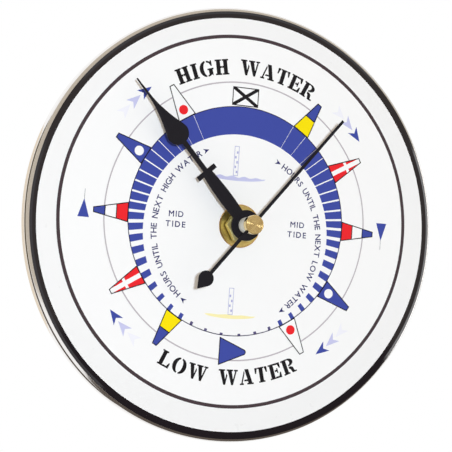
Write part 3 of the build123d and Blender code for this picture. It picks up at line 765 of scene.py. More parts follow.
def raised(name: str, patches: Iterable[Patch], back: float, front: float) -> bpy.types.Object:
    """Build flat shapes as closed solids of one thickness.

    Args:
        name: The object's name.
        patches: The shapes.
        back: Depth of their backs in front of the wall, in millimetres.
        front: Depth of their fronts.

    Returns:
        One object with a solid for each shape.
    """
    mesh = bmesh.new()
    for patch in patches:
        rear = [mesh.verts.new((x * MM, -back * MM, z * MM)) for x, z in patch.points]
        fore = [mesh.verts.new((x * MM, -front * MM, z * MM)) for x, z in patch.points]
        sides: Counter[tuple[int, int]] = Counter()
        for polygon in patch.polygons:
            mesh.faces.new([fore[i] for i in polygon])
            mesh.faces.new([rear[i] for i in reversed(polygon)])
            sides.update(tuple(sorted(pair)) for pair in zip(polygon, polygon[1:] + polygon[:1]))
        for (one, two), uses in sides.items():
            if uses == 1:
                mesh.faces.new((fore[one], rear[one], rear[two], fore[two]))
    return to_object(name, mesh)


def turned(
    name: str, profile: Sequence[Point | Profile], count: int, sharp: float = 40.0, axis: Point = (0.0, 0.0)
) -> bpy.types.Object:
    """Turn a profile about an axis along Y into a closed solid.

    Args:
        name: The object's name.
        profile: Radius and depth of its points, in millimetres, the same all round or worked out from the
            clock angle; radius 0 at both ends, or a closed loop.
        count: Steps round the axis.
        sharp: Angle between two faces, in degrees, from which their edge is sharp.
        axis: Where the axis crosses the dial.

    Returns:
        The object, smooth along its curves.
    """
    mesh = bmesh.new()
    solid = profile[0][0] == 0
    rows = []
    for step in profile:
        row = []
        for i in range(count if callable(step) or step[0] else 1):
            radius, depth = step(360 * i / count) if callable(step) else step
            x, z = polar(radius, 360 * i / count)
            row.append(mesh.verts.new(((x + axis[0]) * MM, -depth * MM, (z + axis[1]) * MM)))
        rows.append(row)
    following = rows[1:] if solid else rows[1:] + rows[:1]
    for row, other in zip(rows, following):
        for i in range(count):
            j = (i + 1) % count
            corners = (row[i % len(row)], row[j % len(row)], other[j % len(other)], other[i % len(other)])
            mesh.faces.new(tuple(dict.fromkeys(corners)))
    piece = to_object(name, mesh)
    piece.data.shade_smooth()
    piece.data.set_sharp_from_angle(angle=math.radians(sharp))
    return piece


@dataclass
class DialPrint:
    """The dial sheet's print as a whole: where it lies and how thick the ink is.

    Attributes:
        face: Depth of the sheet's front, in millimetres.
        centre: The print's middle, from the disc's.
        turn: How far the sheet is stuck on clockwise, in degrees.
        ink: Thickness of one layer of ink, in millimetres.
    """

    face: float
    centre: Point = (-0.03, 1.09)
    turn: float = 0.95
    ink: float = 0.012

    def place(self, point: Point) -> Point:
        """Where a point of the print lies on the clock.

        Args:
            point: The point, from the print's middle.

        Returns:
            The point, from the hands' axis.
        """
        turn = math.radians(self.turn)
        x = point[0] * math.cos(turn) + point[1] * math.sin(turn)
        z = point[1] * math.cos(turn) - point[0] * math.sin(turn)
        return (x + self.centre[0] + DISC_MIDDLE[0], z + self.centre[1] + DISC_MIDDLE[1])

    def lay(self, name: str, shade: Shade, patches: Iterable[Patch], layer: int = 1) -> bpy.types.Object:
        """Print shapes in one ink.

        Args:
            name: The piece's name.
            shade: The ink.
            patches: The shapes.
            layer: Height of their front, in layers of ink.

        Returns:
            The printed piece.
        """
        placed = [patch.moved(self.place) for patch in patches]
        piece = raised(name, placed, self.face, self.face + layer * self.ink)
        return fit(piece, FIXED_BODY, shade.value)


@dataclass
class DialDisc:
    """The disc and the printed film on it: the film stuck a little off centre, the rim polished outside it.

    Attributes:
        film_shift: The film's middle from the disc's, right and up, in millimetres.
        print_shift: The border's middle from the film's, right and up.
        film: Thickness of the film.
        border: Inner radius of its charcoal border.
        bend: Radius at which the film bends back.
        film_edge: Radius of its edge.
        fall: Drop for each millimetre outward, on the film's edge and on the disc under it.
        bevel: Radius at which the disc falls away under the film.
        polish: Radius at which the polished bevel begins.
        polish_tilt: Tilt of that bevel, in degrees.
        corner: Radius of the rounded corner outside it.
        rear_corner: Width of the chamfer at the back.
        hole: Radius of the hole for the stem.
        ink: Thickness of the border's ink.
        steps: Steps round the disc.
        corner_step: Largest angle between two points of the rounded corner, in degrees.
        disc_sharp: Angle from which an edge of the disc is sharp, in degrees.
        film_sharp: The same for the film and its border.
    """

    film_shift: Point = (0.42, -0.12)
    print_shift: Point = (-0.24, 0.04)
    film: float = 0.15
    border: float = 76.13
    bend: float = 77.75
    film_edge: float = 78.73
    fall: float = 0.278
    bevel: float = 77.3
    polish: float = 78.3
    polish_tilt: float = 7.0
    corner: float = 0.7
    rear_corner: float = 0.5
    hole: float = 5.25
    ink: float = 0.02
    steps: int = 240
    corner_step: float = 6.0
    disc_sharp: float = 8.0
    film_sharp: float = 10.0

    def disc_profile(self, radius: float, front: float, back: float) -> list[Point]:
        """Section of the disc.

        Args:
            radius: Radius of the disc.
            front: Depth of its front.
            back: Depth of its back.

        Returns:
            Radius and depth of its points, from its hole's back round to its front.
        """
        tilt = math.radians(self.polish_tilt)
        ring = front - (self.polish - self.bevel) * self.fall
        middle = radius - self.corner
        end = ring - (middle + self.corner * math.sin(tilt) - self.polish) * math.tan(tilt)
        depth = end - self.corner * math.cos(tilt)
        bow = arc(self.corner, 90, self.polish_tilt, self.corner_step)
        rounded = [(middle + x, depth + y) for x, y in bow]
        rear = [(self.hole, back), (radius - self.rear_corner, back), (radius, back + self.rear_corner)]
        return [*rear, *rounded, (self.polish, ring), (self.bevel, front), (self.hole, front)]

    def bent(self, depth: float) -> list[Point]:
        """Radius and depth of the film's bend and its edge, for a line at this depth inside them."""
        return [(self.film_edge, depth - (self.film_edge - self.bend) * self.fall), (self.bend, depth)]

    def inner(self, depth: float) -> Profile:
        """The border's inner edge, which is printed a little off the film's centre."""
        shift = Vector(self.print_shift)
        return lambda angle: (self.border + shift.dot(Vector(polar(1.0, angle))), depth)

    def build(self, metal: Finish, white: Finish) -> None:
        """Make disc, film and border where the plain ones are.

        Args:
            metal: Finish of the disc.
            white: Finish of the film.
        """
        low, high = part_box("dial_disc")
        front, back = -low.y / MM, -high.y / MM
        radius = min(high.x / MM - DISC_MIDDLE[0], DISC_MIDDLE[0] - low.x / MM)
        loop = self.disc_profile(radius, front, back)
        disc = turned("polished_disc", loop, self.steps, self.disc_sharp, DISC_MIDDLE)
        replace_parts(fit(disc, FIXED_BODY, metal), "dial_disc")
        axis = (DISC_MIDDLE[0] + self.film_shift[0], DISC_MIDDLE[1] + self.film_shift[1])
        top = front + self.film
        loop = [*self.bent(front), (self.hole, front), (self.hole, top), *self.bent(top)[::-1]]
        film = turned("printed_film", loop, self.steps, self.film_sharp, axis)
        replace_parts(fit(film, FIXED_BODY, white), "face_film")
        over = top + self.ink
        loop = [*self.bent(top), self.inner(top), self.inner(over), *self.bent(over)[::-1]]
        border = turned("border_band", loop, self.steps, self.film_sharp, axis)
        fit(border, FIXED_BODY, Shade.CHARCOAL.value)


@dataclass
class TideBand:
    """Blue crescent that thins from high water to low, cut into blocks by widening gaps, with dots below.

    Attributes:
        outer: Radius of its outer edge.
        inner: Radius of its inner edge.
        inner_drop: How far the inner edge's centre lies below the print's.
        hairlines: Clock angles of the hairline gaps, mirrored to the left.
        hairline: Width of a hairline gap, in millimetres.
        first_gap: Clock angle of the first wide gap.
        last_block: Clock angle at which the blocks end.
        closest: Clock angle at which the wide gaps lie closest.
        pitch: Angle from one wide gap to the next there, in degrees.
        widening: Growth of that angle for each degree away, above and below.
        widest: The most that it grows to, above and below.
        gap_angle: Angle that a wide gap takes up there.
        gap_growth: Growth of that angle for each degree down, above and below.
        widest_gap: The most that it grows to.
        dots: Clock angles and heights of the dots round low water, mirrored to the left.
        dot_width: Width of a dot.
        edge_line: Width of the line round the band.
    """

    outer: float = 42.2
    inner: float = 36.3
    inner_drop: float = 4.42
    hairlines: tuple[float, ...] = (28.2, 36.7, 45.2)
    hairline: float = 0.15
    first_gap: float = 50.95
    last_block: float = 156.0
    closest: float = 84.0
    pitch: float = 4.9
    widening: Point = (0.045, 0.066)
    widest: Point = (5.9, 7.1)
    gap_angle: float = 1.05
    gap_growth: Point = (0.019, 0.0685)
    widest_gap: float = 5.0
    dots: tuple[Point, ...] = ((158.35, 1.35), (166.55, 1.0), (175.2, 0.8))
    dot_width: float = 1.1
    edge_line: float = 0.33

    def inside(self, angle: float) -> Point:
        """Point of the band's inner edge.

        Args:
            angle: Its clock angle, in degrees.

        Returns:
            The point.
        """
        turn = math.radians(angle)
        drop = self.inner_drop
        radius = math.sqrt(self.inner**2 - (drop * math.sin(turn)) ** 2) - drop * math.cos(turn)
        return polar(radius, angle)

    def block(self, start: float, end: float) -> Patch:
        """The band between two clock angles.

        Args:
            start: Clock angle at which it begins, in degrees.
            end: Clock angle at which it ends.

        Returns:
            The block's shape.
        """
        steps = max(1, math.ceil(end - start))
        angles = [start + (end - start) * i / steps for i in range(steps + 1)]
        return Patch.strip([self.inside(a) for a in angles], [polar(self.outer, a) for a in angles])

    def spacing(self, angle: float) -> float:
        """Angle from one wide gap to the next, which is least beside half tide.

        Args:
            angle: Clock angle of the first one, in degrees.

        Returns:
            The angle between them, in degrees.
        """
        past = angle - self.closest
        below = int(past >= 0)
        return min(self.widest[below], self.pitch + self.widening[below] * abs(past))

    def gap(self, angle: float) -> float:
        """Angle that a wide gap takes up, more and more towards low water."""
        past = angle - self.closest
        return min(self.widest_gap, self.gap_angle + self.gap_growth[int(past >= 0)] * past)

    def side(self) -> list[tuple[float, float]]:
        """Divide the band's right side into blocks.

        Returns:
            First and last clock angle of each block, from the top down.
        """
        thin = math.degrees(self.hairline / self.outer)
        cuts = [(angle, thin) for angle in self.hairlines]
        angle = self.first_gap
        while angle < self.last_block:
            cuts.append((angle, self.gap(angle)))
            angle += self.spacing(angle)
        return [(a + wide / 2, b - narrow / 2) for (a, wide), (b, narrow) in zip(cuts, cuts[1:])]

    def dot(self, angle: float, height: float) -> Patch:
        """A dot that stands inward from the band's outer edge.

        Args:
            angle: Its clock angle, in degrees.
            height: Its height.

        Returns:
            The dot's shape.
        """
        half = math.degrees(self.dot_width / self.outer) / 2
        ends = (angle - half, angle + half)
        foot, top = ([polar(radius, a) for a in ends] for radius in (self.outer, self.outer - height))
        return Patch.strip(top, foot)

    def build(self, sheet: DialPrint) -> None:
        """Print the band, its dots and its edge line.

        Args:
            sheet: The print that they belong to.
        """
        top = self.hairlines[0] - math.degrees(self.hairline / self.outer) / 2
        right = self.side()
        spans = [(-top, top), *right, *((-b, -a) for a, b in right)]
        sheet.lay("tide_band", Shade.BLUE, [self.block(a, b) for a, b in spans], 2)
        dots = [self.dot(side * angle, height) for angle, height in self.dots for side in (1, -1)]
        sheet.lay("low_water_dots", Shade.DOT, dots, 2)
        rim = Patch.ring(self.outer - self.edge_line / 2, self.outer + self.edge_line / 2)
        sheet.lay("tide_band_edge", Shade.LINE, [rim], 3)


class Pattern(Enum):
    """Traditional divisions of a signal pennant."""

    HALVED = "two colours across"
    CROSSED = "white cross on red"
    BANDED = "three bands"
    WHITE_DOT = "white dot on blue"
    RED_DOT = "red dot on white"


@dataclass
class FlagRing:
    """Signal flags that stand on the tide band at the hours.

    Attributes:
        base: Radius on which the flags stand.
        length: How far a pennant reaches out.
        hoist: Half its width at the base.
        tip: Half its width at the end.
        line: Width of its outline and of the seams between its colours.
        halved: Height of the seam of two colours.
        banded: Heights of the seams of three.
        dot_radius: Radius of a pennant's dot.
        dot_height: Height of the dot's middle above the base.
        arm: Height of the middle of a cross's arms above the base.
        arm_half: Half the width of the arms.
        top_half: Half the width and half the height of the flag at high water.
        top_height: Height of its middle above the print's.
        bar: Half the width of its diagonal bars.
        low_hoist: Upper and lower end of the hoist of the pennant at low water.
        low_run: Where its hoist lies and where its point is rounded about.
        low_round: Radius of its point.
        low_taper: How far beyond that place its sides would meet.
        flags: Clock angle and pattern of each pennant.
        shapes: Fields of all flags, by their ink.
        over: What is printed on the fields, by its ink.
        lines: Outlines and seams.
    """

    base: float = 42.3
    length: float = 12.85
    hoist: float = 3.45
    tip: float = 0.85
    line: float = 0.35
    halved: float = 6.3
    banded: Point = (4.3, 8.6)
    dot_radius: float = 1.75
    dot_height: float = 3.1
    arm: float = 6.6
    arm_half: float = 0.55
    top_half: Point = (5.0, 3.3)
    top_height: float = 46.0
    bar: float = 0.62
    low_hoist: Point = (-43.0, -52.85)
    low_run: Point = (-3.8, 5.5)
    low_round: float = 0.95
    low_taper: float = 1.6
    flags: tuple[tuple[float, Pattern], ...] = (
        (33.05, Pattern.HALVED),
        (60.55, Pattern.CROSSED),
        (90.45, Pattern.BANDED),
        (122.05, Pattern.WHITE_DOT),
        (148.25, Pattern.RED_DOT),
        (211.65, Pattern.HALVED),
        (237.95, Pattern.CROSSED),
        (269.45, Pattern.BANDED),
        (299.05, Pattern.WHITE_DOT),
        (328.25, Pattern.RED_DOT),
    )
    shapes: dict[Shade, list[Patch]] = field(default_factory=lambda: {shade: [] for shade in Shade})
    over: dict[Shade, list[Patch]] = field(default_factory=lambda: {shade: [] for shade in Shade})
    lines: list[Patch] = field(default_factory=list)

    def half(self, height: float) -> float:
        """Half a pennant's width at a height above its base."""
        return self.hoist + (self.tip - self.hoist) * height / self.length

    def part(self, low: float, high: float) -> Patch:
        """A pennant between two heights."""
        wide, slim = self.half(low), self.half(high)
        return Patch.outline([(-wide, low), (wide, low), (slim, high), (-slim, high)])

    def standing(self, angle: float) -> Callable[[Point], Point]:
        """Stand a pennant on the band.

        Args:
            angle: Its clock angle, in degrees.

        Returns:
            The change from a point of the pennant to one of the print.
        """
        turn = math.radians(angle)

        def stand(point: Point) -> Point:
            """Point of the pennant on the dial.

            Args:
                point: The point, from the middle of its base.

            Returns:
                The placed point.
            """
            across, out = point[0], point[1] + self.base
            x = out * math.sin(turn) + across * math.cos(turn)
            return (x, out * math.cos(turn) - across * math.sin(turn))

        return stand

    def cross(self) -> list[Patch]:
        """Red fields that leave a white cross as wide as the tip.

        Returns:
            The four fields.
        """
        low, high = self.arm - self.arm_half, self.arm + self.arm_half
        inner = [(self.tip, 0.0), (self.hoist, 0.0), (self.half(low), low), (self.tip, low)]
        outer = [(self.tip, high), (self.half(high), high), (self.tip, self.length)]
        fields = []
        for corners in (inner, outer):
            fields += [Patch.outline(corners), Patch.outline([(-x, y) for x, y in corners])]
        return fields

    def pennant(self, angle: float, pattern: Pattern) -> None:
        """Add one pennant's fields and lines.

        Args:
            angle: Its clock angle, in degrees.
            pattern: Its division.
        """
        stand = self.standing(angle)
        whole = self.part(0.0, self.length)
        dot = Patch.disc(self.dot_radius, (0.0, self.dot_height))
        fields: list[tuple[dict, Shade, Patch]] = {
            Pattern.HALVED: [
                (self.shapes, Shade.YELLOW, self.part(0.0, self.halved)),
                (self.shapes, Shade.BLUE, self.part(self.halved, self.length)),
            ],
            Pattern.CROSSED: [
                (self.shapes, Shade.WHITE, whole),
                *((self.over, Shade.RED, patch) for patch in self.cross()),
            ],
            Pattern.BANDED: [
                (self.shapes, Shade.RED, self.part(0.0, self.banded[0])),
                (self.shapes, Shade.WHITE, self.part(*self.banded)),
                (self.shapes, Shade.BLUE, self.part(self.banded[1], self.length)),
            ],
            Pattern.WHITE_DOT: [(self.shapes, Shade.BLUE, whole), (self.over, Shade.WHITE, dot)],
            Pattern.RED_DOT: [(self.shapes, Shade.WHITE, whole), (self.over, Shade.RED, dot)],
        }[pattern]
        for layer, shade, patch in fields:
            layer[shade].append(patch.moved(stand))
        seams = {Pattern.HALVED: (self.halved,), Pattern.BANDED: self.banded}.get(pattern, ())
        ends = [[(-self.half(height), height), (self.half(height), height)] for height in seams]
        lines = [Patch.stroke(whole.points, self.line)]
        lines += [Patch.stroke(pair, self.line, closed=False) for pair in ends]
        self.lines += [line.moved(stand) for line in lines]

    def top_flag(self) -> None:
        """Add the white flag with a black diagonal cross at high water."""
        wide, high = self.top_half
        run = self.bar * math.hypot(wide, high) / high
        rise = run * high / wide
        half = [
            (-wide, -high), (run - wide, -high), (0.0, -rise), (wide - run, -high),
            (wide, -high), (wide, rise - high), (run, 0.0), (wide, high - rise),
        ]
        saltire = half + [(-x, -y) for x, y in half]
        corners = rectangle(-wide, -high, wide, high)
        middle = (0.0, self.top_height)
        self.shapes[Shade.WHITE].append(Patch.outline(corners).shifted(middle))
        self.over[Shade.BLACK].append(Patch.outline(saltire).shifted(middle))
        self.lines.append(Patch.stroke(corners, self.line).shifted(middle))

    def low_flag(self) -> None:
        """Add the blue pennant that lies sideways at low water, with its rounded point."""
        high, low = self.low_hoist
        left, point = self.low_run
        middle = (high + low) / 2
        slope = math.degrees(math.atan2((high - low) / 2, point + self.low_taper - left))
        tip = [(x + point, y + middle) for x, y in arc(self.low_round, slope, 180 - slope, step=15)]
        shape = [(left, high), *tip, (left, low)]
        self.shapes[Shade.BLUE].append(Patch.outline(shape))
        self.lines.append(Patch.stroke(shape, self.line))

    def build(self, sheet: DialPrint) -> None:
        """Print all flags, ink by ink.

        Args:
            sheet: The print that they belong to.
        """
        for angle, pattern in self.flags:
            self.pennant(angle, pattern)
        self.top_flag()
        self.low_flag()
        for layer, label, shapes in ((2, "field", self.shapes), (3, "emblem", self.over)):
            for shade, patches in shapes.items():
                if patches:
                    sheet.lay(f"flag_{label}_{shade.name.lower()}", shade, patches, layer)
        sheet.lay("flag_outlines", Shade.BLACK, self.lines, 4)


@dataclass
class ArrowRing:
    """Arrowheads that run clockwise outside the flags, half-tide triangles and the print's circles.

    Attributes:
        radius: Radius that the arrows run on.
        tips: Clock angles of the dark arrows' tips.
        length: Length of an arrowhead.
        notch: How far its tail is cut in.
        half_width: Half its width.
        step: Angle from one arrow to its paler copy.
        triangle_length: Length of a half-tide triangle.
        triangle_radius: Radius that the triangles lie on.
        triangle_tips: Clock angles of their tips.
        tide_line: Width of the line through a triangle.
        tide_line_ends: How far the line reaches ahead of its tip and behind it.
        tide_line_lead: How far that tip lies ahead of the triangle's, in degrees.
        hair_circle: Radius of the grey circle behind the flags.
        hair_width: Its width.
        ring: Inner and outer radius of the dark ring on the sheet's edge.
    """

    radius: float = 58.45
    tips: tuple[float, ...] = (54.2, 143.55, 232.55, 321.15)
    length: float = 5.4
    notch: float = 1.6
    half_width: float = 2.15
    step: float = 5.1
    triangle_length: float = 6.6
    triangle_radius: float = 58.8
    triangle_tips: Point = (92.45, 273.0)
    tide_line: float = 0.14
    tide_line_ends: Point = (1.8, -8.0)
    tide_line_lead: float = 1.6
    hair_circle: float = 51.2
    hair_width: float = 0.5
    ring: tuple[float, float] = (67.45, 68.74)

    @staticmethod
    def heading(radius: float, tip: float, shape: Sequence[Point]) -> Patch:
        """Lay a shape that points clockwise on a chord of its circle.

        Args:
            radius: Radius of the circle.
            tip: Clock angle of the shape's tip, in degrees.
            shape: Its points, drawn pointing up, with the tip at the origin.

        Returns:
            The shape in its place.
        """
        length = max(-y for _, y in shape)
        middle = math.radians(tip - math.degrees(length / radius) / 2)
        ahead = (math.cos(middle), -math.sin(middle))
        out = (math.sin(middle), math.cos(middle))

        def lie(point: Point) -> Point:
            """Point of the shape on the dial.

            Args:
                point: The point, from the shape's tip.

            Returns:
                The placed point.
            """
            side, along = point[0], point[1] + length / 2
            reach = radius + side
            return (out[0] * reach + ahead[0] * along, out[1] * reach + ahead[1] * along)

        return Patch.outline([lie(point) for point in shape])

    def build(self, sheet: DialPrint) -> None:
        """Print arrows, triangles and circles.

        Args:
            sheet: The print that they belong to.
        """
        wide, back = self.half_width, -self.length
        head = [(0.0, 0.0), (wide, back), (0.0, back + self.notch), (-wide, back)]
        for copy, shade in enumerate((Shade.BLUE, Shade.LAVENDER, Shade.FAINT)):
            patches = [self.heading(self.radius, tip - copy * self.step, head) for tip in self.tips]
            sheet.lay(f"tide_arrows_{shade.name.lower()}", shade, patches, 3 - copy)
        wedge = [(0.0, 0.0), (wide, -self.triangle_length), (-wide, -self.triangle_length)]
        wedges = [self.heading(self.triangle_radius, tip, wedge) for tip in self.triangle_tips]
        sheet.lay("half_tide_triangles", Shade.BLUE, wedges, 2)
        ahead, behind = self.tide_line_ends
        hair = rectangle(-self.tide_line / 2, behind, self.tide_line / 2, ahead)
        starts = [tip + self.tide_line_lead for tip in self.triangle_tips]
        lines = [self.heading(self.triangle_radius, start, hair) for start in starts]
        sheet.lay("half_tide_lines", Shade.LINE, lines, 1)
        half = self.hair_width / 2
        circle = Patch.ring(self.hair_circle - half, self.hair_circle + half)
        sheet.lay("hair_circle", Shade.GREY, [circle], 1)
        sheet.lay("sheet_ring", Shade.RING, [Patch.ring(*self.ring, step=1.0)], 1)


class StencilAlphabet:
    """Bold slab letters with stencil breaks, drawn in units of their height.

    Attributes:
        slab: Height of a serif.
        stem: Width of an upright.
        serif: How far a serif stands out from its upright.
    """

    slab = 0.10
    stem = 0.27
    serif = 0.085

    @classmethod
    def beam(
        cls, left: float, arm_low: float = 0.5, arm_high: float = 0.5, reach: float = 0.0
    ) -> list[Point]:
        """Upright with slab serifs, and an arm to its right if it has a reach.

        Args:
            left: Left end of its serifs.
            arm_low: Lower edge of the arm.
            arm_high: Upper edge of the arm.
            reach: How far the arm stands out.

        Returns:
            The upright's outline.
        """
        inner = left + cls.serif
        outer = inner + cls.stem
        right = outer + cls.serif
        low, high = cls.slab, 1 - cls.slab
        arm = [(outer, arm_low), (outer + reach, arm_low), (outer + reach, arm_high), (outer, arm_high)]
        lower = [(left, 0.0), (right, 0.0), (right, low), (outer, low)]
        upper = [(outer, high), (right, high), (right, 1.0), (left, 1.0), (left, high), (inner, high)]
        return lower + (arm if reach else []) + upper + [(inner, low), (left, low)]

    @staticmethod
    def crescent(centre: Point, outer: Point, inner: Point, start: float, end: float) -> list[Point]:
        """Outline between two ellipses.

        Args:
            centre: Their centre.
            outer: Half axes of the larger one, across and up.
            inner: Half axes of the smaller one.
            start: Clock angle at which it begins, in degrees.
            end: Clock angle at which it ends.

        Returns:
            The outline.
        """

        def curve(size: Point, first: float, last: float) -> list[Point]:
            """Points along one ellipse."""
            return [(centre[0] + x * size[0], centre[1] + y * size[1]) for x, y in arc(1.0, first, last, 12)]

        return curve(outer, start, end) + curve(inner, end, start)

    @staticmethod
    def flipped(outline: Sequence[Point], width: float) -> list[Point]:
        """Mirror image within a width."""
        return [(width - x, y) for x, y in outline]

    @classmethod
    def letter(cls, character: str) -> list[Patch]:
        """The pieces of one letter.

        Args:
            character: The letter, a capital.

        Returns:
            Their shapes.
        """
        half_h = cls.beam(0.0, 0.44, 0.57, 0.10)
        foot = [(0.41, 0.0), (0.83, 0.0), (0.83, 0.36), (0.75, 0.36), (0.66, 0.12), (0.41, 0.12)]
        roof = [(x, 1 - y) for x, y in foot]
        left_bow = cls.crescent((0.46, 0.5), (0.46, 0.52), (0.19, 0.42), 186, 354)
        vee = [
            (0.0, 1.0), (0.44, 1.0), (0.44, 0.9), (0.36, 0.9), (0.47, 0.36), (0.54, 0.74), (0.62, 0.62),
            (0.50, 0.0), (0.36, 0.0), (0.09, 0.9), (0.0, 0.9),
        ]
        last_vee = [
            (0.0, 1.0), (0.44, 1.0), (0.44, 0.9), (0.36, 0.9), (0.47, 0.36), (0.59, 0.9), (0.51, 0.9),
            (0.51, 1.0), (0.78, 1.0), (0.78, 0.9), (0.69, 0.9), (0.50, 0.0), (0.36, 0.0), (0.14, 0.72),
            (0.09, 0.9), (0.0, 0.9),
        ]
        glyphs = {
            "H": [half_h, cls.flipped(half_h, 0.93)],
            "I": [cls.beam(0.0)],
            "T": [
                cls.beam(0.21),
                [(0.0, 0.62), (0.08, 0.62), (0.15, 0.88), (0.18, 0.88), (0.18, 1.0), (0.0, 1.0)],
                [(0.86, 0.62), (0.78, 0.62), (0.71, 0.88), (0.68, 0.88), (0.68, 1.0), (0.86, 1.0)],
            ],
            "E": [
                cls.beam(0.0),
                foot,
                roof,
                [(0.41, 0.44), (0.55, 0.44), (0.55, 0.34), (0.63, 0.34), (0.63, 0.66), (0.55, 0.66),
                 (0.55, 0.56), (0.41, 0.56)],
            ],
            "L": [cls.beam(0.0), foot],
            "O": [left_bow, cls.flipped(left_bow, 0.97)],
            "G": [
                left_bow,
                [(0.51, 1.02), (0.64, 0.99), (0.76, 0.92), (0.80, 1.0), (0.87, 1.0), (0.87, 0.64),
                 (0.79, 0.64), (0.68, 0.84), (0.51, 0.91)],
                [(0.51, -0.02), (0.66, 0.02), (0.78, 0.09), (0.87, 0.0), (0.87, 0.40), (0.94, 0.40),
                 (0.94, 0.50), (0.52, 0.50), (0.52, 0.40), (0.60, 0.40), (0.60, 0.12), (0.51, 0.09)],
            ],
            "A": [
                [(0.0, 0.0), (0.28, 0.0), (0.28, 0.1), (0.20, 0.1), (0.375, 0.76), (0.325, 0.92), (0.10, 0.1),
                 (0.0, 0.1)],
                [(0.36, 1.0), (0.63, 1.0), (0.88, 0.1), (0.97, 0.1), (0.97, 0.0), (0.52, 0.0), (0.52, 0.1),
                 (0.61, 0.1), (0.58, 0.22), (0.31, 0.22), (0.335, 0.33), (0.55, 0.33), (0.415, 0.80)],
            ],
            "R": [
                cls.beam(0.0),
                cls.crescent((0.45, 0.74), (0.40, 0.26), (0.15, 0.16), 0, 180),
                [(0.45, 0.44), (0.60, 0.44), (0.74, 0.36), (0.80, 0.1), (0.93, 0.1), (0.93, 0.0), (0.62, 0.0),
                 (0.54, 0.26), (0.45, 0.33)],
            ],
            "W": [vee, [(x + 0.55, y) for x, y in last_vee]],
        }
        return [Patch.outline(outline) for outline in glyphs[character]]


class PlainAlphabet:
    """Plain capitals of Blender's built-in font, in units of their height.

    Attributes:
        reference: Letter that is one unit high.
        weight: How much bolder each letter is made.
        smoothness: Points along a curve of a letter.
    """

    reference = "H"
    weight = 0.016
    smoothness = 3

    @classmethod
    def shape(cls, character: str) -> Patch:
        """Draw a character with the font, a little bolder.

        Args:
            character: The character.

        Returns:
            Its shape, in the font's own unit.
        """
        curve = bpy.data.curves.new("letter", "FONT")
        curve.body = character
        curve.resolution_u = cls.smoothness
        holder = bpy.data.objects.new("letter", curve)
        mesh = bpy.data.meshes.new_from_object(holder)
        points = tuple((vertex.co.x, vertex.co.y) for vertex in mesh.vertices)
        polygons = tuple(tuple(polygon.vertices) for polygon in mesh.polygons)
        bpy.data.objects.remove(holder)
        bpy.data.curves.remove(curve)
        bpy.data.meshes.remove(mesh)
        return Patch(points, polygons).grown(cls.weight)

    @classmethod
    def letter(cls, character: str) -> list[Patch]:
        """The character scaled so that a capital is one unit high."""
        height = max(y for _, y in cls.shape(cls.reference).points)
        return [cls.shape(character).moved(lambda point: (point[0] / height, point[1] / height))]


@dataclass
class Line:
    """A line of lettering, straight or round a centre.

    Attributes:
        text: What it says.
        alphabet: Where its letters come from.
        height: Height of a capital, in millimetres.
        word_space: Space between two words, in heights.
    """

    text: str
    alphabet: type[StencilAlphabet] | type[PlainAlphabet]
    height: float
    word_space: float = 0.55

    def letters(self) -> list[list[Patch]]:
        """Draw each character from its own left edge.

        Returns:
            Their shapes, in millimetres; none for a space.
        """
        made = []
        for character in self.text:
            shapes = [] if character == " " else self.alphabet.letter(character)
            left = min((shape.across()[0] for shape in shapes), default=0.0)
            grow = self.height
            made.append([s.moved(lambda p, left=left: ((p[0] - left) * grow, p[1] * grow)) for s in shapes])
        return made

    def spread(self, length: float) -> list[tuple[float, float, list[Patch]]]:
        """Set the characters to fill a length.

        Args:
            length: From the first character's left edge to the last one's right edge, in millimetres.

        Returns:
            Left edge, width and shapes of each character.
        """
        letters = self.letters()
        blank = self.word_space * self.height
        widths = [max((shape.across()[1] for shape in shapes), default=blank) for shapes in letters]
        gap = (length - sum(widths)) / max(1, len(widths) - 1)
        lefts = [sum(widths[:i]) + gap * i for i in range(len(widths))]
        return list(zip(lefts, widths, letters))

    def straight(self, middle: Point, length: float) -> list[Patch]:
        """The line on a level baseline.

        Args:
            middle: Its middle.
            length: Its length, in millimetres.

        Returns:
            The placed shapes.
        """
        left = middle[0] - length / 2
        base = middle[1] - self.height / 2
        placed = []
        for start, _, shapes in self.spread(length):
            placed += [shape.shifted((left + start, base)) for shape in shapes]
        return placed

    def curved(self, radius: float, start: float, end: float, centre: Point = (0.0, 0.0)) -> list[Patch]:
        """The line round a centre, its letters upright on the arc.

        Args:
            radius: Radius of the middle of its letters.
            start: Clock angle at which it begins.
            end: Clock angle at which it ends; before the start, the letters' tops face the centre.
            centre: What it runs round.

        Returns:
            The placed shapes.
        """
        way = 1 if end > start else -1
        length = math.radians(abs(end - start)) * radius
        placed = []
        for left, width, shapes in self.spread(length):
            turn = math.radians(start + way * math.degrees((left + width / 2) / radius))
            out = (math.sin(turn), math.cos(turn))

            def stand(point: Point, width: float = width, out: Point = out) -> Point:
                """Point of a letter on the dial.

                Args:
                    point: The point, from the letter's lower left corner.
                    width: The letter's width.
                    out: Direction from the centre to the letter's middle.

                Returns:
                    The placed point.
                """
                along = way * (point[0] - width / 2)
                reach = radius + way * (point[1] - self.height / 2)
                x = centre[0] + out[0] * reach + out[1] * along
                return (x, centre[1] + out[1] * reach - out[0] * along)

            placed += [shape.moved(stand) for shape in shapes]
        return placed


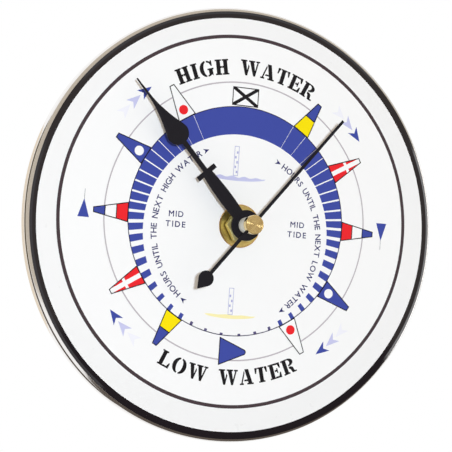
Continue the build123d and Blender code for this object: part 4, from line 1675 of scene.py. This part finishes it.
@dataclass
class Lettering:
    """The dial's plain wording.

    Attributes:
        high: Height of the large letters above.
        high_arc: Radius of their middle and the clock angles of their two ends.
        low: Height of the large letters below.
        low_arc: Radius of their middle and the clock angles of their two ends.
        small: Height of the small capitals.
        left_centre: Centre of the left small line.
        left_arc: Its radius and two ends.
        right_centre: Centre of the right small line.
        right_arc: Its radius and two ends.
        arrow: Length of the small arrowheads at the lines' ends.
        arrow_half: Half the width of an arrowhead, as a share of its length.
        arrow_notch: Where its tail is cut in to, as a share of its length.
        arrow_gap: Space between an arrowhead and its line.
        half_tide: How far the half-tide words stand to either side.
        half_tide_height: Height of their capitals.
        half_tide_lines: The words, with the height of their middle and their length.
    """

    high: float = 5.75
    high_arc: tuple[float, float, float] = (56.88, -28.6, 28.7)
    low: float = 5.65
    low_arc: tuple[float, float, float] = (57.33, 207.35, 152.55)
    small: float = 2.2
    left_centre: Point = (0.0, -4.42)
    left_arc: tuple[float, float, float] = (32.25, 220.5, 330.5)
    right_centre: Point = (0.87, -5.87)
    right_arc: tuple[float, float, float] = (32.0, 29.5, 140.0)
    arrow: float = 2.3
    arrow_half: float = 0.44
    arrow_notch: float = 0.7
    arrow_gap: float = 1.0
    half_tide: float = 24.0
    half_tide_height: float = 2.1
    half_tide_lines: tuple[tuple[str, float, float], ...] = (("MID", 0.6, 5.6), ("TIDE", -3.1, 7.6))

    def arrowheads(self, centre: Point, radius: float, start: float, end: float) -> list[Patch]:
        """Small swallow-tailed arrowheads beyond both ends of a curved line, pointing clockwise.

        Args:
            centre: What the line runs round.
            radius: Radius of the middle of its letters.
            start: Clock angle at which it begins.
            end: Clock angle at which it ends.

        Returns:
            The two arrowheads.
        """
        half, notch = self.arrow * self.arrow_half, self.arrow * self.arrow_notch
        head = [(0.0, 0.0), (half, -self.arrow), (0.0, -notch), (-half, -self.arrow)]
        step = math.degrees(self.arrow / radius)
        gap = math.degrees(self.arrow_gap / radius)
        tips = (start - gap, end + gap + step)
        return [ArrowRing.heading(radius, tip, head).shifted(centre) for tip in tips]

    def build(self, sheet: DialPrint) -> None:
        """Print the wording.

        Args:
            sheet: The print that it belongs to.
        """
        high = Line("HIGH WATER", StencilAlphabet, self.high).curved(*self.high_arc)
        low = Line("LOW WATER", StencilAlphabet, self.low).curved(*self.low_arc)
        sheet.lay("tide_lettering", Shade.BLACK, high + low, 1)
        small = []
        for text, centre, run in (
            ("HOURS UNTIL THE NEXT HIGH WATER", self.left_centre, self.left_arc),
            ("HOURS UNTIL THE NEXT LOW WATER", self.right_centre, self.right_arc),
        ):
            small += Line(text, PlainAlphabet, self.small).curved(*run, centre)
            small += self.arrowheads(centre, *run)
        for across in (-self.half_tide, self.half_tide):
            for word, up, length in self.half_tide_lines:
                small += Line(word, PlainAlphabet, self.half_tide_height).straight((across, up), length)
        sheet.lay("small_lettering", Shade.TEXT_BLUE, small, 1)


@dataclass(frozen=True)
class Wave:
    """A bar with a wavy top that thins to its ends.

    Attributes:
        left: Its left end.
        right: Its right end.
        level: Height of its top's middle.
        depth: How far it reaches below that.
        swell: Height of its waves.
        waves: How many it has.
        steps: Points along one wave.
        end: Thickness left at its ends, as a share.
    """

    left: float
    right: float
    level: float
    depth: float
    swell: float
    waves: int
    steps: int = 12
    end: float = 0.05

    def shape(self) -> Patch:
        """Draw the bar.

        Returns:
            Its shape.
        """
        count = self.steps * self.waves
        top, bottom = [], []
        for i in range(count + 1):
            share = i / count
            body = math.sin(math.pi * share) ** 0.5 if 0 < i < count else self.end
            x = self.left + (self.right - self.left) * share
            top.append((x, self.level + self.swell * body * math.sin(2 * math.pi * self.waves * share)))
            bottom.append((x, self.level - self.depth * body))
        return Patch.strip(bottom, top)


@dataclass
class TideStaffs:
    """Two plain tide staffs, one deep in water and one standing on sand.

    Attributes:
        width: Width of a staff.
        line: Width of its outline.
        mark: Height of a graduation.
        high_foot: Foot of the staff at high water.
        high_height: Its height.
        low_foot: Foot of the staff at low water.
        low_height: Its height.
        water: What the first one stands in.
        sand: What the second one stands on.
    """

    width: float = 1.7
    line: float = 0.22
    mark: float = 0.9
    high_foot: Point = (-2.0, 16.6)
    high_height: float = 10.8
    low_foot: Point = (-0.5, -34.4)
    low_height: float = 9.6
    water: Wave = Wave(-14.0, 10.0, level=16.2, depth=1.5, swell=0.3, waves=5)
    sand: Wave = Wave(-10.5, 9.5, level=-34.6, depth=1.4, swell=0.12, waves=3)

    def staff(self, foot: Point, height: float) -> list[Patch]:
        """A staff with graduations on alternate sides.

        Args:
            foot: Middle of its foot.
            height: Its height.

        Returns:
            Its outline and the graduations.
        """
        left, right = foot[0] - self.width / 2, foot[0] + self.width / 2
        low, high = foot[1], foot[1] + height
        shapes = [Patch.stroke(rectangle(left, low, right, high), self.line)]
        for i in range(int((height - self.mark) / (2 * self.mark))):
            base = low + self.mark * (2 * i + 1)
            start, end = (left + self.line, foot[0]) if i % 2 else (foot[0], right - self.line)
            shapes.append(Patch.outline(rectangle(start, base, end, base + self.mark)))
        return shapes

    def build(self, sheet: DialPrint) -> None:
        """Print both staffs and what they stand in.

        Args:
            sheet: The print that they belong to.
        """
        sheet.lay("high_water_bar", Shade.LAVENDER, [self.water.shape()], 1)
        sheet.lay("low_water_sand", Shade.SAND, [self.sand.shape()], 1)
        staffs = self.staff(self.high_foot, self.high_height) + self.staff(self.low_foot, self.low_height)
        sheet.lay("tide_staffs", Shade.STAFF, staffs, 1)


@dataclass
class HubCap:
    """Turned brass cap on the seconds hand: fine grooves on its face and a rounded edge.

    Attributes:
        pitch: Spacing of the grooves, in millimetres.
        depth: Depth of the grooves.
        edge: Radius of its rounded edge.
        groove_steps: Points along one groove.
        edge_step: Largest angle between two points of the rounded edge, in degrees.
        steps: Steps round the cap.
    """

    pitch: float = 0.2
    depth: float = 0.018
    edge: float = 0.25
    groove_steps: int = 4
    edge_step: float = 15.0
    steps: int = 120

    def profile(self, radius: float, front: float, back: float) -> list[Point]:
        """Section of the cap.

        Args:
            radius: Radius of the cap.
            front: Depth of its face.
            back: Depth of its back.

        Returns:
            Radius and depth of its points, from the middle of its face round to the middle of its back.
        """
        flat = radius - self.edge
        count = round(flat / self.pitch) * self.groove_steps
        points = []
        for i in range(count + 1):
            sunk = 0.5 - 0.5 * math.cos(2 * math.pi * i / self.groove_steps)
            points.append((flat * i / count, front - self.depth * sunk))
        bow = arc(self.edge, self.edge_step, 90, self.edge_step)
        points += [(flat + x, front - self.edge + y) for x, y in bow]
        return points + [(radius, back), (0.0, back)]

    def build(self, finish: Finish) -> bpy.types.Object:
        """Make the cap where the plain one is, and let it stand for it.

        Args:
            finish: The cap's finish.

        Returns:
            The cap.
        """
        low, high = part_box("seconds_cap")
        profile = self.profile(high.x / MM, -low.y / MM, -high.y / MM)
        piece = fit(turned("turned_cap", profile, self.steps), "seconds_group", finish)
        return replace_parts(piece, "seconds_cap")


@dataclass
class HexNut:
    """Brass nut cut from bar, chamfered at both ends so that its facets end in arcs.

    Attributes:
        bore: Radius of its bore, in millimetres.
        face: Radius of its flat ends.
        slope: Drop of the chamfers for each millimetre outward.
        facet_steps: Points along one facet.
        sharp: Angle from which an edge is sharp, in degrees.
    """

    bore: float = 4.1
    face: float = 5.2
    slope: float = 0.58
    facet_steps: int = 12
    sharp: float = 20.0

    def build(self, finish: Finish) -> bpy.types.Object:
        """Make the nut where the plain one is, and let it stand for it.

        Args:
            finish: The nut's finish.

        Returns:
            The nut.
        """
        low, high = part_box("hex_nut")
        flat, front, back = high.z / MM, -low.y / MM, -high.y / MM

        def reach(angle: float) -> float:
            """Distance from the axis to the facet at a clock angle."""
            return flat / math.cos(math.radians((angle + 30) % 60 - 30))

        def fore(angle: float) -> Point:
            """Radius and depth where the front chamfer meets a facet."""
            return (reach(angle), front - (reach(angle) - self.face) * self.slope)

        def rear(angle: float) -> Point:
            """Radius and depth where the rear chamfer meets a facet."""
            return (reach(angle), back + (reach(angle) - self.face) * self.slope)

        profile = [(self.bore, back), (self.bore, front), (self.face, front), fore, rear, (self.face, back)]
        nut = turned("chamfered_nut", profile, 6 * self.facet_steps, self.sharp)
        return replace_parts(fit(nut, FIXED_BODY, finish), "hex_nut")


@dataclass
class RearMarks:
    """Marks moulded on the movement's cover: the knob turns both ways, and which way round the cell goes in.

    Attributes:
        height: How far they stand out, in millimetres.
        sink: How far their feet are sunk in the cover.
        line: Width of their lines.
        radius: Radius of the turning arrow round the knob.
        half_turn: Clock angle of its ends.
        step: Largest angle between two points along it, in degrees.
        head: Length and half width of its heads.
        sign: Length of the plus and minus signs.
        sign_place: Place of the plus sign; the minus sign is as far to the other side.
    """

    height: float = 0.25
    sink: float = 0.02
    line: float = 0.7
    radius: float = 8.2
    half_turn: float = 42.0
    step: float = 6.0
    head: Point = (2.2, 1.1)
    sign: float = 3.2
    sign_place: Point = (21.0, -6.4)

    def arrow(self, middle: Point) -> list[Patch]:
        """The turning arrow, with a head at both ends.

        Args:
            middle: Middle of the knob.

        Returns:
            The arrow's bow and its heads.
        """
        length, wide = self.head
        half = self.line / 2
        ends = (-self.half_turn, self.half_turn, self.step)
        bow = Patch.strip(arc(self.radius - half, *ends), arc(self.radius + half, *ends))
        tip = self.half_turn + math.degrees(length / self.radius)
        head = ArrowRing.heading(self.radius, tip, [(0.0, 0.0), (wide, -length), (-wide, -length)])
        shapes = [bow, head, head.moved(lambda point: (-point[0], point[1]))]
        return [shape.shifted(middle) for shape in shapes]

    def signs(self) -> list[Patch]:
        """The plus and minus signs over the cell's two ends.

        Returns:
            Both signs.
        """
        across, up = self.sign_place
        half, arm = self.line / 2, self.sign / 2
        quarter = [(half, arm), (half, half), (arm, half)]
        right = quarter + [(z, -x) for x, z in quarter]
        plus = Patch.outline(right + [(-x, -z) for x, z in right])
        minus = Patch.outline(rectangle(-arm, -half, arm, half))
        return [plus.shifted((across, up)), minus.shifted((-across, up))]

    def build(self, finish: Finish) -> bpy.types.Object:
        """Raise the marks on the cover's back.

        Args:
            finish: The marks' finish.

        Returns:
            The marks, as one piece.
        """
        low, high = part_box("setting_knob")
        cover = -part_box("rear_cover")[1].y / MM
        middle = ((low.x + high.x) / 2 / MM, (low.z + high.z) / 2 / MM)
        shapes = self.arrow(middle) + self.signs()
        marks = raised("cover_marks", shapes, cover - self.height, cover + self.sink)
        return fit(marks, FIXED_BODY, finish)


@dataclass
class Wardrobe:
    """Which finish each CAD node wears."""

    disc: Finish = DiscMetal(
        "polished_disc", (0.92, 0.91, 0.90), 0.10, axis=DISC_MIDDLE, pitch=0.08, ring_depth=0.0001,
        tarnish_share=0.1, gloss_spread=0.02,
    )
    film: Finish = Finish("white_film", display(244, 244, 244), 0.30, mottle=0.015, grain_depth=0.001)
    sheet: Finish = Finish("white_sheet", display(248, 248, 248), 0.45, mottle=0.012, grain_depth=0.0015)
    brass: Finish = TurnedMetal(
        "turned_brass", (0.84, 0.65, 0.30), 0.14, mottle_size=1.5, gloss_spread=0.04, ring_depth=0.0002
    )
    # The washer's patches are real tarnish; its rim beyond 7.6 mm is darkened as painted shade
    washer: Finish = TurnedMetal(
        "rolled_brass", (0.96, 0.82, 0.30), 0.32, mottle_size=3.0, pitch=0.4, tarnish_and_edge_shade=(0.45, 0.15, 0.04),
        tarnish_share=0.50, edge_shade_radius=7.6, edge_shade_share=0.4,
    )
    # Past the foot the nut is darkened as painted shade in its corner against the washer
    nut: Finish = BarMetal(
        "bar_brass", (1.0, 0.96, 0.48), 0.36, grain_size=0.2, grain_depth=0.0003,
        stretch=(1.0, 12.0, 1.0), foot=-24.3,
    )
    black: Finish = Lacquer("black_lacquer", (0.011, 0.010, 0.014), 0.40, specular=0.15, grain_size=0.8)
    bush: Finish = Finish("white_bush", (0.94, 0.96, 0.88), 0.42, mottle_size=2.0)
    case: Finish = Finish("grained_case", (0.030, 0.030, 0.033), 0.52, grain_size=0.45, grain_depth=0.03)
    cover: Finish = Finish("grained_cover", (0.036, 0.036, 0.040), 0.55, grain_size=0.40, grain_depth=0.03)
    # The marks' lower roughness is a real polish; their colour, lighter than the cover's, is a painted sheen
    marks: Finish = Finish("polished_marks_painted_sheen", (0.09, 0.09, 0.095), 0.25, mottle_size=2.0, grain_depth=0.001)
    natural: Finish = Finish("natural_moulding", (0.74, 0.71, 0.62), 0.45, mottle_size=6.0, mottle=0.10)
    acetal: Finish = Finish("white_acetal", (0.83, 0.81, 0.75), 0.36, mottle_size=3.0)
    steel: Finish = DrawnMetal("stamped_steel", (0.60, 0.60, 0.61), 0.30, grain_size=0.15)
    bronze: Finish = DrawnMetal("rolled_bronze", (0.66, 0.42, 0.20), 0.28, grain_size=0.15)
    copper: Finish = Winding("copper_turns", (0.55, 0.20, 0.08), 0.35)
    board: Finish = BoardMask("green_board", (0.03, 0.17, 0.05), 0.40)
    resin: Finish = Finish("black_resin", (0.012, 0.012, 0.012), 0.22, grain_size=1.5, grain_depth=0.02)
    cell: Finish = Jacket("cell_jacket", (0.030, 0.036, 0.050), 0.28, grain_depth=0.002)
    magnet: Finish = Finish("sintered_magnet", (0.12, 0.12, 0.13), 0.60, metallic=0.6, grain_size=0.12)
    rubber: Finish = Finish("black_gasket", (0.025, 0.025, 0.025), 0.80, grain_size=0.3, grain_depth=0.01)

    def by_slot(self) -> dict[str, Finish]:
        """Sort the finishes by the record's slots.

        Returns:
            The finish of each slot.
        """
        return {
            "disc_metal": self.disc,
            "film_print": self.film,
            "sheet_print": self.sheet,
            "rubber": self.rubber,
            "brass": self.brass,
            "case_plastic": self.case,
            "cover_plastic": self.cover,
            "bridge_plastic": self.natural,
            "wheel_plastic": self.acetal,
            "steel": self.steel,
            "spring_bronze": self.bronze,
            "copper_winding": self.copper,
            "board": self.board,
            "resin": self.resin,
            "battery_jacket": self.cell,
            "magnet": self.magnet,
            "hand_black": self.black,
            "bush_white": self.bush,
        }

    def dress(self, record: dict, nodes: dict[str, bpy.types.Object]) -> None:
        """Give every CAD node the material of its slot, and the washer its own.

        Args:
            record: The part's record.
            nodes: The CAD nodes, by name.
        """
        finishes = self.by_slot()
        own = {"brass_washer": self.washer}
        for row in record["subparts"]:
            node, finish = nodes[row["node"]], own.get(row["node"], finishes[row["material_slot"]])
            node.data.materials.clear()
            node.data.materials.append(finish.material())
            log.info("%s: %s", row["node"], finish.name)


@dataclass(frozen=True)
class Card:
    """A plain card that shows only as a reflection in the clock's metal.

    Attributes:
        name: The card's name.
        bearing: Its bearing from straight in front of the dial, in degrees to the right.
        rise: Its height, in degrees.
        distance: Its distance from the target, in metres.
        size: Its width and height, in metres.
        colour: Its linear colour.
    """

    name: str
    bearing: float
    rise: float
    distance: float
    size: Point
    colour: Colour

    def build(self, target: Vector) -> None:
        """Stand the card up so that it faces the target.

        Args:
            target: What it faces.
        """
        toward = outward(self.bearing, self.rise)
        mesh = bmesh.new()
        bmesh.ops.create_grid(mesh, x_segments=1, y_segments=1, size=0.5)
        card = to_object(self.name, mesh)
        turn = toward.to_track_quat("Z", "Y").to_matrix().to_4x4()
        place = Matrix.Translation(target + toward * self.distance)
        card.matrix_world = place @ turn @ Matrix.Diagonal((*self.size, 1, 1))
        material = bpy.data.materials.new(self.name)
        graph = Graph(material)
        glow = graph.node("ShaderNodeEmission", inputs={"Color": self.colour, "Strength": 1.0})
        graph.node("ShaderNodeOutputMaterial", inputs={"Surface": glow})
        card.data.materials.append(material)
        card.visible_camera = card.visible_diffuse = card.visible_shadow = card.visible_transmission = False


@dataclass
class Studio:
    """Plain floor, soft light and the camera at the photograph's angle.

    Attributes:
        target: Point that the camera looks at, in the middle of the dial's face.
        azimuth: Camera's turn round the clock, in degrees; negative is to the left.
        elevation: Camera's height, in degrees; negative is from below.
        roll: Tilt of the camera's frame, in degrees.
        distance: Camera's distance from the target, in metres.
        view_angle: Width of its view, in degrees.
        off_centre: Where the target shows, right and up of the image's middle, in pixels.
        near: Distance from which the camera sees, in metres.
        fill: Colour of the light from all round.
        fill_strength: Its strength.
        key_colour: Colour of the key light.
        key_watts: Its power.
        key_turn: How far it stands to the right of the camera and above it, in degrees.
        key_distance: Its distance from the target, in metres.
        key_side: Its side, in metres.
        floor_height: Height of the floor, in metres.
        floor_side: Its side.
        floor_colour: Its colour under the lights.
        floor_glow: How much of it is plain white where it shows.
        cards: Cards that the metal reflects.
    """

    target: Vector
    azimuth: float = -21.482
    elevation: float = -3.379
    roll: float = 2.897
    distance: float = 0.602955
    view_angle: float = 15.691
    off_centre: Point = (11.43, 2.07)
    near: float = 0.01
    fill: Colour = (1.0, 0.86, 0.70)
    fill_strength: float = 0.46
    key_colour: Colour = (0.80, 0.895, 1.0)
    key_watts: float = 9.9
    key_turn: Point = (6.3, 3.6)
    key_distance: float = 1.2
    key_side: float = 0.06
    floor_height: float = -0.20
    floor_side: float = 0.9
    floor_colour: Colour = (0.92, 0.92, 0.92)
    floor_glow: float = 0.94
    cards: tuple[Card, ...] = (
        Card("front_card", 20.5, 12.5, 1.6, (2.35, 1.13), (0.55, 0.49, 0.41)),
        Card("left_card", -67.0, 0.0, 1.0, (1.86, 1.2), (0.12, 0.09, 0.05)),
        Card("rear_card", -158.0, 0.0, 1.0, (0.6, 0.6), (0.82, 0.72, 0.59)),
        Card("right_card", 112.0, 0.0, 1.0, (1.7, 1.7), (0.52, 0.52, 0.50)),
        Card("right_strip", 61.0, 0.0, 1.0, (0.2, 0.6), (4.0, 4.0, 4.0)),
        Card("left_streak", 5.0, 6.4, 1.2, (0.14, 0.06), (6.0, 6.0, 6.0)),
        Card("right_streak", 38.0, 0.4, 1.2, (0.14, 0.06), (6.0, 6.0, 6.0)),
        Card("low_card", 28.0, -44.0, 0.14, (0.20, 0.15), (0.12, 0.10, 0.085)),
        Card("low_left_card", -74.0, -40.0, 0.15, (0.18, 0.13), (0.12, 0.10, 0.085)),
    )

    def direction(self, turn: float = 0.0, rise: float = 0.0) -> Vector:
        """Unit vector from the target to the camera, or to a place turned and raised from it."""
        return outward(self.azimuth + turn, self.elevation + rise)

    def aimed(self, toward: Vector, roll: float = 0.0) -> Matrix:
        """Turn of an object that stands out along a direction and looks back.

        Args:
            toward: The direction, a unit vector.
            roll: Roll in its own frame, in degrees.

        Returns:
            The turn.
        """
        right = Vector((-toward.y, toward.x, 0.0)).normalized()
        up = toward.cross(right)
        turn = math.radians(roll)
        side = right * math.cos(turn) + up * math.sin(turn)
        top = up * math.cos(turn) - right * math.sin(turn)
        return Matrix((side, top, toward)).transposed().to_4x4()

    def set_camera(self) -> None:
        """Make the camera."""
        data = bpy.data.cameras.new("camera")
        data.sensor_fit = "HORIZONTAL"
        data.angle = math.radians(self.view_angle)
        data.shift_x = -self.off_centre[0] / IMAGE_SIDE
        data.shift_y = -self.off_centre[1] / IMAGE_SIDE
        data.clip_start = self.near
        camera = bpy.data.objects.new("camera", data)
        toward = self.direction()
        place = Matrix.Translation(self.target + toward * self.distance)
        camera.matrix_world = place @ self.aimed(toward, self.roll)
        bpy.context.scene.collection.objects.link(camera)
        bpy.context.scene.camera = camera

    def set_key(self) -> None:
        """Make the soft key light close to the camera."""
        data = bpy.data.lights.new("key", "AREA")
        data.energy = self.key_watts
        data.size = self.key_side
        data.color = self.key_colour
        light = bpy.data.objects.new("key", data)
        toward = self.direction(*self.key_turn)
        place = Matrix.Translation(self.target + toward * self.key_distance)
        light.matrix_world = place @ self.aimed(toward)
        light.visible_glossy = False
        bpy.context.scene.collection.objects.link(light)

    @staticmethod
    def seen(graph: Graph) -> Value:
        """One on rays that show the background: straight, mirrored or through glass.

        Args:
            graph: The material's or world's nodes.

        Returns:
            The mask.
        """
        kinds = ("Camera", "Glossy", "Transmission")
        rays = [graph.node("ShaderNodeLightPath", output=f"Is {kind} Ray") for kind in kinds]
        return graph.math("MINIMUM", rays[0] + rays[1] + rays[2], 1.0)

    def set_world(self) -> None:
        """White where it shows, and a warm fill on the object."""
        world = bpy.data.worlds.new("studio")
        bpy.context.scene.world = world
        graph = Graph(world)
        seen = self.seen(graph)
        colour = graph.mix(seen, self.fill, (1.0, 1.0, 1.0))
        strength = seen * (1 - self.fill_strength) + self.fill_strength
        shader = graph.node("ShaderNodeBackground", inputs={"Color": colour, "Strength": strength})
        graph.node("ShaderNodeOutputWorld", inputs={"Surface": shader})

    def set_floor(self) -> None:
        """Make the pale floor, which keeps the object's shadow and shows nearly white."""
        mesh = bmesh.new()
        bmesh.ops.create_grid(mesh, x_segments=1, y_segments=1, size=self.floor_side / 2)
        floor = to_object("floor", mesh)
        floor.location.z = self.floor_height
        material = bpy.data.materials.new("pale_floor")
        graph = Graph(material)
        matt = graph.node("ShaderNodeBsdfDiffuse", inputs={"Color": self.floor_colour})
        glow = graph.node("ShaderNodeEmission", inputs={"Color": (1.0, 1.0, 1.0), "Strength": 1.0})
        share = self.seen(graph) * self.floor_glow
        shader = graph.node("ShaderNodeMixShader", inputs={0: share, 1: matt, 2: glow})
        graph.node("ShaderNodeOutputMaterial", inputs={"Surface": shader})
        floor.data.materials.append(material)

    def build(self) -> None:
        """Set up the whole studio."""
        bpy.context.scene.view_settings.view_transform = "Standard"
        self.set_world()
        self.set_floor()
        self.set_key()
        self.set_camera()
        for card in self.cards:
            card.build(self.target)


def main() -> None:
    """Dress the clock, print its dial and set up the studio."""
    logging.basicConfig(level=logging.INFO, format="%(message)s")
    wardrobe = Wardrobe()
    wardrobe.dress(frame["record"], frame["nodes"])
    sheet = DialPrint(face=-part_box("dial_sheet")[0].y / MM)
    DialDisc().build(wardrobe.disc, wardrobe.film)
    TideBand().build(sheet)
    FlagRing().build(sheet)
    ArrowRing().build(sheet)
    Lettering().build(sheet)
    TideStaffs().build(sheet)
    HexNut().build(wardrobe.nut)
    HubCap().build(wardrobe.brass)
    RearMarks().build(wardrobe.marks)
    Studio(target=Vector((DISC_MIDDLE[0] * MM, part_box("dial_sheet")[0].y, DISC_MIDDLE[1] * MM))).build()


if __name__ == "__main__":
    main()
